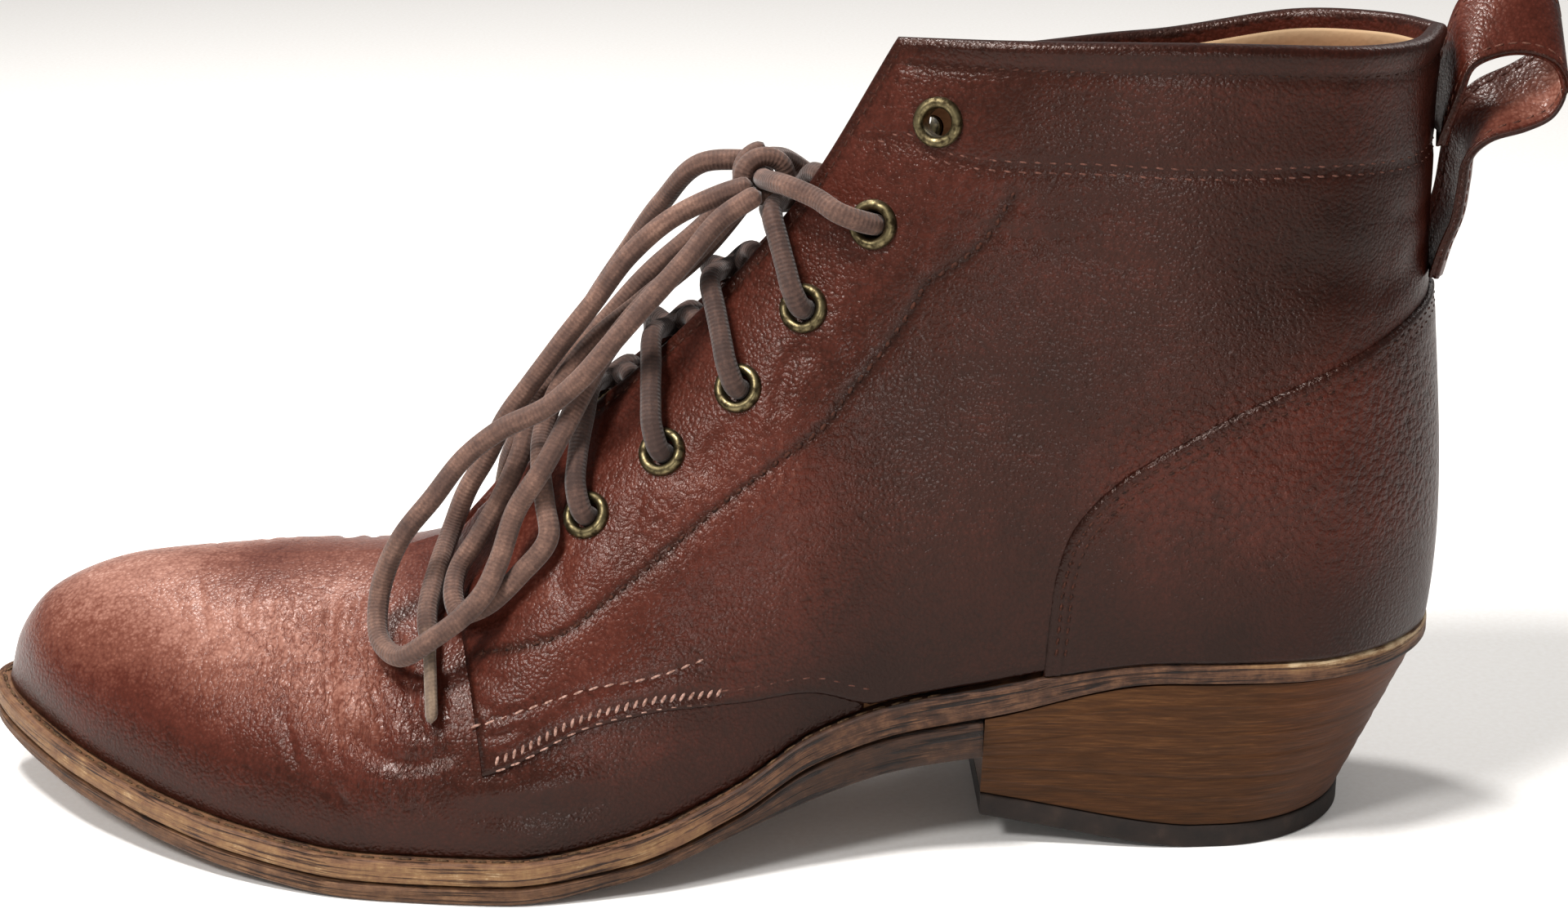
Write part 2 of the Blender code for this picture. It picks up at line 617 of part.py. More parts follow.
def make_pin(centre, axis, radius, depth):
    """Round cutter through the wall."""
    bm = bmesh.new()
    turn = Vector((0, 0, 1)).rotation_difference(axis).to_matrix().to_4x4()
    bmesh.ops.create_cone(bm, cap_ends=True, segments=12, radius1=radius, radius2=radius,
                          depth=2 * depth, matrix=Matrix.Translation(centre) @ turn)
    mesh = bpy.data.meshes.new("cutter")
    bm.to_mesh(mesh)
    bm.free()
    obj = bpy.data.objects.new("cutter", mesh)
    bpy.context.scene.collection.objects.link(obj)
    return obj


def make_upper(materials):
    """Hollow upper with the quarters and the counter raised on it and the eyelet holes cut."""
    upper = make_base_shell("upper", materials["upper"])
    u = np.concatenate([np.array([5.95, 6.1, 6.3, 6.6]), np.linspace(6.9, 10.0, 12),
                        np.linspace(10.0, BACK_SEAM, 12)[1:]])
    low = read_edge(QUARTER_EDGE, u)
    high = np.where(u < 6.2, OVERLAY_EDGE[0], OVERLAY_EDGE[1])
    quarter = make_overlay("quarter", materials["upper"], u, low, high, 8, -OVERLAY_SUNK, QUARTER_STEP)
    apply_boolean(upper, quarter, "UNION")
    u = np.concatenate([np.array([10.85, 10.88, 10.92, 10.99, 11.1, 11.3, 11.6]),
                        np.linspace(11.94, BACK_SEAM, 8)])
    high = read_edge(COUNTER_EDGE, u)
    low = np.full_like(u, COUNTER_FOOT)
    lift = QUARTER_STEP + COUNTER_STEP
    sunk = -OVERLAY_SUNK * 0.6
    counter = make_overlay("counter", materials["upper"], u, low, high, 5, sunk, lift)
    apply_boolean(upper, counter, "UNION")
    for side in (-1, 1):
        for u_at, v_at in EYELETS:
            centre, axis = normal_at(u_at, v_at, side)
            apply_boolean(upper, make_pin(centre, axis, PUNCHED_HOLE, 0.006), "DIFFERENCE")
    tidy_mesh(upper)
    return upper


def make_eyelets(materials):
    """Flanged brass rings set through the quarters."""
    face = QUARTER_STEP + FIT_GAP
    top = face + EYELET_RAISE
    bottom = -WALL - 0.0002
    profile = ((EYELET_HOLE, bottom), (EYELET_BARREL, bottom), (EYELET_BARREL, face),
               (EYELET_FLANGE, face), (EYELET_FLANGE - 0.0006, top - 0.0002),
               (EYELET_HOLE + 0.0007, top), (EYELET_HOLE, top - 0.0004))
    for side, word in ((-1, "outer"), (1, "inner")):
        for number, (u_at, v_at) in enumerate(EYELETS, 1):
            centre, axis = normal_at(u_at, v_at, side)
            name = "eyelet_%s_%d" % (word, number)
            turned_solid(name, materials["brass"], profile, centre, axis, 12)


def make_tongue(materials):
    """Tongue under the facings, bridged across the throat."""
    u = np.linspace(TONGUE_STATIONS[0], TONGUE_STATIONS[1], 11)
    share = (u - u[0]) / (u[-1] - u[0])
    v = section_rows(TONGUE_SIDE[0] + TONGUE_SIDE[1] * share, np.full_like(u, TONGUE_EDGE), 5)
    faces = []
    for depth in (WALL + TONGUE_GAP, WALL + TONGUE_GAP + TONGUE_THICKNESS):
        outer = upper_point(u[:, None], v, -1, -depth)
        inner = upper_point(u[:, None], v[:, ::-1], 1, -depth)
        left = outer[:, -1:]
        right = inner[:, :1]
        share = np.array([0.25, 0.5, 0.75])[None, :, None]
        middle = left + (right - left) * share
        faces.append(np.concatenate([outer, middle, inner], 1))
    sheet = Sheet()
    outside = sheet.add(faces[0])
    inside = sheet.add(faces[1])
    sheet.quads(outside)
    sheet.quads(inside)
    sheet.strip(outside[:, 0], inside[:, 0])
    sheet.strip(outside[:, -1], inside[:, -1])
    sheet.strip(outside[0], inside[0])
    sheet.strip(outside[-1], inside[-1])
    return sheet.build("tongue", materials["tongue"])


def smooth_path(route, spacing):
    """Points at even spacing on a smooth curve through the bends of a route."""
    points = np.array(route, float)
    gaps = np.linalg.norm(np.diff(points, axis=0), axis=1)
    marks = np.concatenate([[0.0], np.cumsum(gaps)])
    lean = np.gradient(points, marks, axis=0)
    fine = []
    for k, gap in enumerate(gaps):
        w = np.linspace(0.0, 1.0, 25)[:-1, None]
        start = (1 + 2 * w) * (1 - w) ** 2 * points[k] + w * (1 - w) ** 2 * gap * lean[k]
        end = w * w * (3 - 2 * w) * points[k + 1] + w * w * (w - 1) * gap * lean[k + 1]
        fine.append(start + end)
    fine.append(points[-1:])
    fine = np.concatenate(fine)
    walked = np.concatenate([[0.0], np.cumsum(np.linalg.norm(np.diff(fine, axis=0), axis=1))])
    count = max(3, int(round(walked[-1] / spacing)) + 1)
    even = np.linspace(0.0, walked[-1], count)
    return np.stack([np.interp(even, walked, fine[:, k]) for k in range(fine.shape[1])], 1)


def make_cord(name, material, route):
    """Round lace along a route, as a curve with closed ends."""
    points = to_world(smooth_path(route, 2.4 * LACE_DIAMETER))
    curve = bpy.data.curves.new(name, "CURVE")
    curve.dimensions = "3D"
    curve.bevel_depth = LACE_DIAMETER / 2
    curve.bevel_resolution = 2
    curve.use_fill_caps = True
    spline = curve.splines.new("POLY")
    spline.points.add(len(points) - 1)
    for place, point in zip(spline.points, points):
        place.co = (*point, 1.0)
    obj = bpy.data.objects.new(name, curve)
    bpy.context.scene.collection.objects.link(obj)
    obj.data.materials.append(material)
    return obj


def make_tube(name, material, path, radius, count):
    """Round solid along world points, closed at both ends."""
    points = []
    faces = []
    normal = Vector((0, 0, 1))
    for k, point in enumerate(path):
        ahead = Vector(path[min(k + 1, len(path) - 1)])
        behind = Vector(path[max(k - 1, 0)])
        tangent = (ahead - behind).normalized()
        normal = (normal - tangent * normal.dot(tangent)).normalized()
        across = tangent.cross(normal)
        for j in range(count):
            angle = 2 * np.pi * j / count
            offset = normal * float(np.cos(angle)) + across * float(np.sin(angle))
            points.append(tuple(Vector(point) + offset * radius))
    for k in range(len(path) - 1):
        for j in range(count):
            other = (j + 1) % count
            low = k * count
            faces.append((low + j, low + other, low + count + other, low + count + j))
    faces.append(tuple(range(count)))
    faces.append(tuple(range((len(path) - 1) * count, len(path) * count)))
    mesh = bpy.data.meshes.new(name)
    mesh.from_pydata(points, [], faces)
    obj = bpy.data.objects.new(name, mesh)
    bpy.context.scene.collection.objects.link(obj)
    obj.data.materials.append(material)
    tidy_mesh(obj)
    return obj


def throat_centre(u, height):
    """Point between the two facing edges, raised by height along the throat's outward side."""
    outer = upper_point(u, 1.0, -1)
    inner = upper_point(u, 1.0, 1)
    ahead = upper_point(u + 0.05, 1.0, -1) + upper_point(u + 0.05, 1.0, 1) - outer - inner
    out = np.array([-ahead[2], 0.0, ahead[0]])
    return (outer + inner) / 2 + height * out / np.linalg.norm(out)


def crossing_path(row, side):
    """Route of one lace from its eyelet over the facing's edge to beside the other facing."""
    number, over, cross, end = row
    u_at, v_at = EYELETS[number - 1]
    radius = LACE_DIAMETER / 2
    clear = QUARTER_STEP + FIT_GAP + EYELET_RAISE + FIT_GAP + radius + LACE_LIFT
    low = QUARTER_STEP + 4 * FIT_GAP + radius
    route = [
        upper_point(u_at, v_at, side, -LACE_LIFT),
        upper_point(u_at, v_at, side, QUARTER_STEP + EYELET_RAISE + LACE_LIFT),
        upper_point(u_at + (over - u_at) * 0.10, v_at + (1 - v_at) * 0.16, side, clear),
        upper_point(u_at + (over - u_at) * 0.35, v_at + (1 - v_at) * 0.42, side, clear + LACE_LIFT / 2),
        upper_point(u_at + (over - u_at) * 0.75, v_at + (1 - v_at) * 0.75, side, low + 2 * LACE_LIFT),
        upper_point(over, 0.985, side, low + LACE_OVER_EDGE),
        throat_centre(cross, LACE_CROSS_HEIGHT),
    ]
    edge = upper_point(end, 1.0, -side)
    centre = throat_centre(end, 0.0)
    beside = edge + (centre - edge) * (radius + LACE_SIDE_GAP) / np.linalg.norm(centre - edge)
    route.append(beside + throat_centre(end, LACE_OVER_EDGE) - centre)
    return to_world(smooth_path(route, 0.0036))


def make_crossings(materials):
    """Laces crossed over the throat, each crossing joined to one solid."""
    for number, row in enumerate(CROSSINGS, 1):
        name = "lace_crossing_%d" % number
        near = make_tube(name, materials["lace"], crossing_path(row, -1), LACE_DIAMETER / 2, 7)
        far = make_tube("other", materials["lace"], crossing_path(row, 1), LACE_DIAMETER / 2, 7)
        apply_boolean(near, far, "UNION")


def make_strap(materials):
    """Pull strap of doubled leather behind the collar."""
    rows = smooth_path([(row[0], row[1], row[2] * 1e-4) for row in STRAP], 0.0028)
    ahead = np.gradient(rows[:, :2], axis=0)
    ahead /= np.linalg.norm(ahead, axis=1, keepdims=True)
    twist = np.radians(rows[:, 2] * 1e4)
    centre = np.stack([rows[:, 0], np.zeros(len(rows)), rows[:, 1]], 1)
    normal = np.stack([-ahead[:, 1], np.zeros(len(rows)), ahead[:, 0]], 1)
    sideways = np.array([0.0, 1.0, 0.0])
    upright = np.stack([np.zeros(len(rows)), np.cos(twist), np.sin(twist)], 1)
    leaning = upright[:, 1:2] * sideways + upright[:, 2:3] * np.array([0.0, 0.0, 1.0])
    thick = normal * np.cos(twist)[:, None] - sideways * (np.sin(twist) * np.sign(normal[:, 2]))[:, None]
    half = STRAP_WIDTH / 2
    deep = STRAP_THICKNESS / 2
    sheet = Sheet()
    corners = []
    for across, depth in ((-half, -deep), (half, -deep), (half, deep), (-half, deep), (-half, -deep)):
        corners.append(centre + across * leaning + depth * thick)
    grid = sheet.add(np.stack(corners))
    sheet.quads(grid)
    for k in (0, -1):
        sheet.faces.append(tuple(int(i) for i in grid[:4, k]))
    sheet.build("pull_strap", materials["upper"])


def make_laces(materials):
    """Knot, loops and free ends of the bow."""
    make_cord("lace_knot", materials["lace"], KNOT_ROUTE)
    make_cord("lace_loop_near", materials["lace"], NEAR_LOOP_ROUTE)
    make_cord("lace_end_near", materials["lace"], NEAR_END_ROUTE)
    make_cord("lace_loop_far", materials["lace"], FAR_LOOP_ROUTE)
    make_cord("lace_end_far", materials["lace"], FAR_END_ROUTE)


def main():
    """Build every piece of the boot."""
    for obj in list(bpy.data.objects):
        bpy.data.objects.remove(obj)
    materials = {
        "upper": make_material("brown_leather", (0.075, 0.025, 0.017), 0.42),
        "tongue": make_material("tongue_leather", (0.070, 0.026, 0.018), 0.55),
        "midsole": make_material("midsole_leather", (0.30, 0.21, 0.13), 0.60),
        "outsole": make_material("outsole_leather", (0.17, 0.11, 0.07), 0.65),
        "insole": make_material("insole_leather", (0.44, 0.26, 0.12), 0.70),
        "heel": make_material("stacked_leather", (0.11, 0.045, 0.024), 0.50),
        "lift": make_material("heel_rubber", (0.028, 0.019, 0.015), 0.70),
        "brass": make_material("antique_brass", (0.35, 0.30, 0.18), 0.40, 1.0),
        "lace": make_material("waxed_lace", (0.17, 0.09, 0.065), 0.75),
    }
    make_sole_parts(materials)
    make_heel(materials)
    make_upper(materials)
    make_eyelets(materials)
    make_tongue(materials)
    make_crossings(materials)
    make_strap(materials)
    make_laces(materials)


if __name__ == "__main__":
    main()
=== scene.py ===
"""Looks of a left lace up ankle boot: leather panels, stitches, sole, heel, brass eyelets and waxed lace.

Places are the boot's own: s runs from the toe to the heel, y to the inner side, z up, in metres.
The upper is read at station u, toe 0 to back seam 15, and at share v of the section, sole 0 to top 1.
"""
from functools import lru_cache, partial

import bmesh
import bpy
import numpy as np
from bpy.props import FloatProperty, FloatVectorProperty, IntProperty, PointerProperty
from mathutils import Matrix, Vector


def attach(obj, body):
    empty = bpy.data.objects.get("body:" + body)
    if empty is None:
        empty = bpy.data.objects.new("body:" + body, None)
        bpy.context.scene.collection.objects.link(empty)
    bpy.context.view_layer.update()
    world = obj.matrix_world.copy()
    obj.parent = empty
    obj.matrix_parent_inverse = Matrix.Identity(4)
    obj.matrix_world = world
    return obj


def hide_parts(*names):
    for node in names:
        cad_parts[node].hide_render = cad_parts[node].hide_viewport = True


bl_info = {
    "name": "Lace up ankle boot",
    "version": (1, 0, 0),
    "blender": (4, 5, 0),
    "location": "View3D > Sidebar > Boot",
    "description": "Builds the leather, stitches, sole, eyelets and lace of an ankle boot",
    "category": "Add Mesh",
}

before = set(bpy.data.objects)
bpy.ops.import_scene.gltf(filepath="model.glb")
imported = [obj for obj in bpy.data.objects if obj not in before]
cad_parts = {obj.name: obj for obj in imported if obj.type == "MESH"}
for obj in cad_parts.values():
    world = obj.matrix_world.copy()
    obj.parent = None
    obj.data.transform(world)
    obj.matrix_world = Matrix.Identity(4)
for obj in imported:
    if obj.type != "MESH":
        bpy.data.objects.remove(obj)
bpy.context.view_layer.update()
BODY = "root"

# Main sizes, the same values as in the part's source
SOLE_LENGTH = 0.275
BALL_WIDTH = 0.095
SHAFT_HEIGHT = 0.154
WALL = 0.0022
FIT_GAP = 0.0003
TOE_ROUND = 0.070
HEEL_ROUND = 0.031
MIDSOLE_FRONT = 0.0046
MIDSOLE_WAIST = 0.0060
MIDSOLE_HEEL = 0.0042
BREAST_AT = 0.1885
HEEL_REST_AT = 0.2440
HEEL_INSET = 0.0008
HEEL_PITCH = 0.0135
HEEL_SIDE_TAPER = 0.15
TOP_LIFT = 0.0044
TOP_LIFT_STEP = 0.0003
ROCKER_AT = 0.2280
ROCKER_RISE = 0.0065
QUARTER_STEP = 0.0011
COUNTER_STEP = 0.0010
INNER_DROP = 0.0110
EYELET_HOLE = 0.0025
EYELET_BARREL = 0.0029
EYELET_FLANGE = 0.0045
EYELET_RAISE = 0.0010
PUNCH_RADIUS = 0.0031
TONGUE_THICKNESS = 0.0018
TONGUE_GAP = 0.0005
STRAP_WIDTH = 0.016
STRAP_THICKNESS = 0.0020
LACE_DIAMETER = 0.0038
LACE_SIDES = 16
TIP_LENGTH = 0.019

# Depths inside the wall, and how far a panel's cut edge takes to reach full height
LEATHER_INNER = -0.0012
VAMP_INNER = -0.0009
EDGE_REACH = 0.0009
# No crease cuts deeper than this into the leather
RELIEF_FLOOR = 0.00065
# Stations where the quarter and the counter begin
QUARTER_FRONT = 5.95
COUNTER_FRONT = 10.85
# The counter's two rows of stitches, by their distance from its cut edge, and the groove they lie in
COUNTER_ROWS = (0.0019, 0.0036)
COUNTER_GROOVE = 0.00022
# Attributes that the materials read
LEATHER_MARKS = ("tone", "flex", "pebble", "edge")
LACE_MARKS = ("tip", "shade")
# A mix node that carries colour, and its output
COLOUR_MIX = {"out": 2, "data_type": "RGBA"}

OUTLINE_COLUMNS = ("along", "centre", "outer", "inner")
OUTLINE = (
    (0.000, 0.126, 0.326, 0.295), (0.073, 0.121, 0.437, 0.326), (0.182, 0.095, 0.514, 0.358),
    (0.291, 0.058, 0.553, 0.421), (0.364, 0.032, 0.547, 0.437), (0.455, 0.010, 0.487, 0.374),
    (0.545, 0.000, 0.392, 0.289), (0.636, 0.000, 0.326, 0.263), (0.727, 0.000, 0.312, 0.295),
    (0.836, 0.000, 0.328, 0.326), (0.927, 0.000, 0.311, 0.316), (1.000, 0.000, 0.284, 0.284),
)
PROFILE_COLUMNS = ("along", "tread", "seat", "welt")
PROFILE = (
    (0.000, 0.0455, 0.0735, 0.031), (0.073, 0.0270, 0.0567, 0.031), (0.134, 0.0150, 0.0445, 0.031),
    (0.200, 0.0058, 0.0355, 0.031), (0.270, 0.0000, 0.0300, 0.030), (0.365, 0.0000, 0.0302, 0.028),
    (0.445, 0.0110, 0.0400, 0.026), (0.520, 0.0345, 0.0680, 0.022), (0.570, 0.0510, 0.0980, 0.020),
    (0.620, 0.0640, 0.1130, 0.020), (0.682, 0.0725, 0.1235, 0.020), (0.815, 0.0850, 0.1440, 0.022),
    (1.000, 0.0900, 0.1445, 0.026),
)
STATION_COLUMNS = ("foot", "top", "middle", "open", "high",
                   "rise", "push", "reach", "back", "down", "sag")
STATIONS = (
    (0.000, 0.0110, 0.126, 0.000, 0.129, 0.000, 0.000, 0.000, 0.000, 0.000, 0.00),
    (0.020, 0.0170, 0.121, 0.000, 0.173, 0.037, 0.005, 0.058, 0.004, 0.000, 0.00),
    (0.048, 0.0380, 0.116, 0.000, 0.234, 0.090, 0.010, 0.135, 0.000, 0.004, 0.00),
    (0.105, 0.1000, 0.105, 0.000, 0.283, 0.145, 0.010, 0.210, 0.000, 0.005, 0.00),
    (0.185, 0.1890, 0.084, 0.000, 0.299, 0.190, 0.016, 0.265, 0.000, 0.012, 0.00),
    (0.275, 0.2690, 0.053, 0.000, 0.311, 0.235, 0.016, 0.295, 0.000, 0.030, 0.00),
    (0.360, 0.3330, 0.012, 0.000, 0.350, 0.275, 0.010, 0.285, 0.000, 0.065, 0.00),
    (0.437, 0.3960, 0.000, 0.068, 0.477, 0.350, 0.005, 0.230, 0.042, 0.085, 0.10),
    (0.513, 0.4840, 0.000, 0.088, 0.625, 0.420, 0.005, 0.205, 0.075, 0.130, 0.30),
    (0.585, 0.5600, 0.000, 0.110, 0.790, 0.500, 0.005, 0.165, 0.085, 0.230, 0.65),
    (0.655, 0.6210, 0.000, 0.137, 0.984, 0.520, 0.010, 0.140, 0.050, 0.360, 1.00),
    (0.735, 0.7090, 0.000, 0.252, 0.995, 0.470, 0.020, 0.020, 0.010, 0.380, 1.00),
    (0.815, 0.7970, 0.000, 0.296, 1.000, 0.420, 0.030, -0.030, 0.000, 0.400, 0.90),
    (0.902, 0.8930, 0.000, 0.270, 0.994, 0.390, 0.036, -0.036, -0.016, 0.410, 0.40),
    (0.967, 0.9580, 0.000, 0.132, 0.986, 0.380, 0.042, -0.026, -0.042, 0.420, 0.08),
    (1.000, 0.9790, 0.000, 0.000, 0.986, 0.380, 0.042, 0.000, -0.050, 0.420, 0.00),
)
THROAT = 6.0
CORNER = 10.0
BACK_SEAM = 15.0
QUARTER_EDGE = ((5.95, 0.215), (6.20, 0.226), (6.75, 0.246), (7.30, 0.224), (7.90, 0.162),
                (8.85, 0.055), (9.45, 0.006), (15.0, 0.004))
COUNTER_EDGE = ((10.85, 0.000), (10.92, 0.140), (11.10, 0.225), (11.94, 0.360),
                (12.92, 0.480), (14.00, 0.560), (15.0, 0.585))
EYELETS = ((10.226, 0.867), (9.553, 0.792), (8.838, 0.784), (8.265, 0.742), (7.688, 0.735), (7.144, 0.710))
CROSSINGS = ((6, 7.42, 7.50, 7.60), (5, 7.86, 7.97, 8.08), (4, 8.33, 8.47, 8.60), (3, 8.86, 9.02, 9.17))
STRAP = (
    (0.2720, 0.1062, 0.0), (0.2732, 0.1115, 0.0), (0.2751, 0.1180, 4.0), (0.2757, 0.1245, 8.0),
    (0.2763, 0.1305, 14.0), (0.2797, 0.1354, 20.0), (0.2850, 0.1382, 24.0), (0.2896, 0.1415, 26.0),
    (0.2913, 0.1465, 26.0), (0.2893, 0.1512, 26.0), (0.2842, 0.1535, 24.0), (0.2785, 0.1528, 18.0),
    (0.2742, 0.1500, 10.0), (0.2724, 0.1450, 4.0), (0.2715, 0.1385, 0.0), (0.2712, 0.1320, 0.0),
)

# How round the strap is cupped against the back: twice the radius
CUP_ROUND = 0.025

# Routes of the free lace in tenths of a millimetre, the same bends as in the part's source
ROUTES = {
    "lace_knot": (
        (1600, -225, 1224), (1566, -195, 1240), (1515, -160, 1254), (1482, -95, 1246), (1476, 0, 1229),
        (1484, 95, 1236), (1520, 160, 1219), (1566, 200, 1179)),
    "lace_loop_near": (
        (1469, -129, 1234), (1396, -130, 1183), (1343, -160, 1127), (1272, -190, 1052), (1209, -210, 984),
        (1146, -215, 910), (1092, -215, 862), (1001, -200, 809), (937, -190, 754), (878, -200, 679),
        (818, -210, 603), (776, -215, 485), (783, -278, 431), (821, -330, 423), (883, -356, 469),
        (932, -345, 503), (975, -325, 545), (999, -298, 591), (1031, -260, 678), (1080, -255, 757),
        (1116, -215, 815), (1154, -170, 880), (1192, -125, 935), (1256, -95, 1010), (1345, -72, 1098),
        (1461, -46, 1220)),
    "lace_end_near": (
        (1456, -82, 1235), (1397, -70, 1212), (1306, -75, 1167), (1234, -80, 1103), (1172, -80, 1018),
        (1107, -80, 932), (1051, -80, 855), (1004, -80, 787), (969, -75, 712), (933, -70, 649),
        (904, -70, 574), (879, -158, 518), (866, -237, 474), (874, -318, 420), (882, -409, 327)),
    "lace_loop_far": (
        (1463, 0, 1212), (1362, -8, 1085), (1256, -30, 1000), (1163, -52, 925), (1105, -85, 852),
        (1077, -130, 785), (1074, -200, 734), (1083, -243, 679), (1090, -273, 636), (1038, -292, 568),
        (962, -290, 499), (926, -269, 482), (914, -238, 501), (920, -191, 536), (957, -173, 593),
        (1001, -147, 667), (1035, -120, 740), (1052, -60, 795), (1105, -15, 860), (1186, 20, 945),
        (1276, 40, 1040), (1366, 60, 1115), (1462, 48, 1217)),
    "lace_end_far": (
        (1460, 94, 1234), (1370, 110, 1225), (1290, 170, 1130), (1215, 225, 1005), (1140, 265, 875),
        (1070, 300, 745), (1010, 340, 615), (970, 400, 490), (950, 445, 375)),
}
FAR_ENDS = {"lace_knot": "object", "lace_loop_near": "object", "lace_loop_far": "object",
            "lace_end_near": "bare", "lace_end_far": "bare"}

# Middle and radius of the turns round the knot
KNOT_CORE = (0.1477, 0.0000, 0.1229)
KNOT_RADIUS = 0.0040

# Creases of the leather: depth and width in millimetres, then the places it runs through.
# A negative depth is a ridge.
CREASES = (
    (0.34, 1.0, ((4.20, 0.808), (4.21, 0.668), (4.34, 0.534))),
    (0.42, 1.0, ((4.49, 0.751), (4.56, 0.623), (4.61, 0.518), (4.60, 0.400))),
    (1.00, 1.5, ((4.71, 0.840), (4.71, 0.600), (4.75, 0.446), (4.79, 0.324), (4.83, 0.191))),
    (0.48, 1.0, ((4.97, 0.834), (4.88, 0.656), (4.87, 0.523))),
    (0.75, 1.3, ((5.06, 0.700), (5.08, 0.601), (5.12, 0.471), (5.18, 0.348), (5.26, 0.240))),
    (0.80, 1.3, ((5.34, 0.640), (5.37, 0.541), (5.44, 0.403), (5.57, 0.306))),
    (0.95, 1.8, ((4.88, 0.386), (5.10, 0.289), (5.43, 0.262), (5.81, 0.300))),
    (0.60, 1.4, ((4.62, 0.343), (4.72, 0.224), (4.86, 0.118))),
    (0.35, 1.1, ((4.36, 0.420), (4.42, 0.320), (4.52, 0.220))),
    (0.45, 1.2, ((5.20, 0.560), (5.26, 0.450), (5.34, 0.350))),
    (0.40, 1.1, ((5.56, 0.560), (5.66, 0.450), (5.74, 0.380))),
    (0.40, 2.6, ((5.80, 0.130), (6.34, 0.100), (7.11, 0.080))),
    (-0.60, 3.0, ((5.60, 0.180), (6.20, 0.170), (6.99, 0.140))),
    (0.26, 0.9, ((3.56, 0.903), (3.69, 0.684), (3.79, 0.539))),
    (0.22, 0.9, ((3.86, 0.800), (3.94, 0.680), (4.02, 0.560))),
    (0.24, 0.9, ((4.06, 0.900), (4.02, 0.760), (4.10, 0.640))),
    (-0.60, 5.0, ((7.27, 0.430), (7.82, 0.460), (8.27, 0.455), (8.82, 0.420))),
    (0.50, 0.9, ((5.97, 0.430), (6.10, 0.385), (6.26, 0.345))),
    (0.42, 0.9, ((5.99, 0.520), (6.14, 0.470), (6.32, 0.435))),
    (0.40, 0.9, ((6.00, 0.330), (6.16, 0.310), (6.34, 0.320))),
    (0.50, 1.6, ((9.40, 0.720), (9.20, 0.655), (9.25, 0.590))),
    (0.55, 1.7, ((8.72, 0.730), (8.55, 0.650), (8.60, 0.580))),
    (0.50, 1.6, ((8.10, 0.690), (7.98, 0.630), (8.02, 0.570))),
    (0.45, 1.5, ((7.52, 0.680), (7.42, 0.610), (7.46, 0.550))),
    (0.35, 1.5, ((6.95, 0.650), (6.86, 0.590), (6.90, 0.530))),
    (0.35, 1.6, ((10.30, 0.700), (10.80, 0.690), (11.40, 0.700))),
    (0.30, 1.8, ((13.60, 0.740), (14.20, 0.720), (14.80, 0.730))),
    (0.55, 3.0, ((13.40, 0.610), (14.10, 0.640), (14.80, 0.650))),
    (0.40, 3.0, ((8.62, 0.740), (9.08, 0.618), (9.67, 0.585))),
    (0.22, 1.6, ((10.42, 0.750), (11.04, 0.732), (11.65, 0.744))),
    (0.70, 5.0, ((12.63, 0.650), (13.16, 0.646), (13.86, 0.647))),
    (-0.40, 5.5, ((12.28, 0.261), (12.76, 0.292), (13.36, 0.343))),
    (0.35, 3.0, ((7.68, 0.645), (7.98, 0.649), (8.38, 0.666))),
    (0.35, 6.0, ((10.26, 0.513), (10.63, 0.410), (11.01, 0.331))),
    (0.25, 2.2, ((10.60, 0.680), (11.20, 0.660), (11.90, 0.640))),
)
# Soft swellings: station, share, radius and height in millimetres
SWELLS = (
    (4.30, 0.640, 11.0, 0.55), (4.95, 0.450, 5.0, 0.80), (5.30, 0.160, 8.0, 0.60),
    (5.35, 0.640, 5.0, 0.50), (6.45, 0.600, 10.0, 0.40), (8.60, 0.520, 9.0, 0.35),
    (9.90, 0.420, 14.0, -0.80), (12.30, 0.340, 13.0, 0.60), (14.40, 0.780, 9.0, 0.60),
    (9.05, 0.640, 4.5, 0.45), (8.40, 0.620, 4.5, 0.45), (7.75, 0.600, 4.5, 0.42),
    (7.15, 0.580, 4.5, 0.40), (9.75, 0.660, 5.0, 0.35), (10.90, 0.860, 12.0, 0.30),
    (12.60, 0.640, 9.0, -0.50), (11.60, 0.560, 12.0, -0.40),
)
# Painted highlights and shade on the leather, with worn patches among them: station, share, radius in
# millimetres, and lighter or darker
TONE_AND_PAINTED_LIGHT = (
    (2.40, 0.652, 20.0, 0.58), (1.60, 0.100, 12.0, -0.30), (3.00, 0.930, 20.0, 0.12),
    (3.49, 0.840, 14.0, 0.34), (4.04, 0.600, 17.0, 0.86), (4.08, 0.100, 18.0, -0.10),
    (4.91, 0.448, 12.0, 0.66), (5.22, 0.158, 10.0, 0.10), (5.02, 0.020, 12.0, -0.20),
    (4.90, 0.820, 16.0, 0.50), (6.28, 0.150, 8.0, -0.10), (6.69, 0.030, 13.0, -0.30),
    (6.51, 0.928, 13.0, 0.35), (8.35, 0.900, 14.0, 0.06), (7.82, 0.538, 10.0, 0.26),
    (8.53, 0.470, 10.0, 0.24), (9.46, 0.497, 16.0, -0.14), (10.36, 0.385, 22.0, -0.40),
    (10.99, 0.152, 16.0, -0.30), (9.61, 0.060, 16.0, -0.44), (8.85, 0.030, 12.0, -0.30),
    (10.83, 0.870, 20.0, -0.24), (12.27, 0.879, 22.0, -0.28), (12.87, 0.665, 17.0, -0.58),
    (14.75, 0.760, 11.0, 0.10), (12.29, 0.502, 14.0, -0.16), (12.28, 0.342, 13.0, 0.16),
    (13.18, 0.454, 12.0, 0.16), (14.30, 0.330, 16.0, -0.10), (12.31, 0.030, 14.0, -0.35),
    (13.67, 0.030, 12.0, -0.30), (11.34, 0.020, 12.0, -0.35), (6.85, 0.461, 12.0, 0.16),
    (7.42, 0.803, 9.0, 0.16), (6.70, 0.665, 9.0, 0.14), (5.80, 0.430, 7.0, -0.10),
    (14.20, 0.700, 22.0, -0.16), (11.50, 0.620, 24.0, -0.14),
)
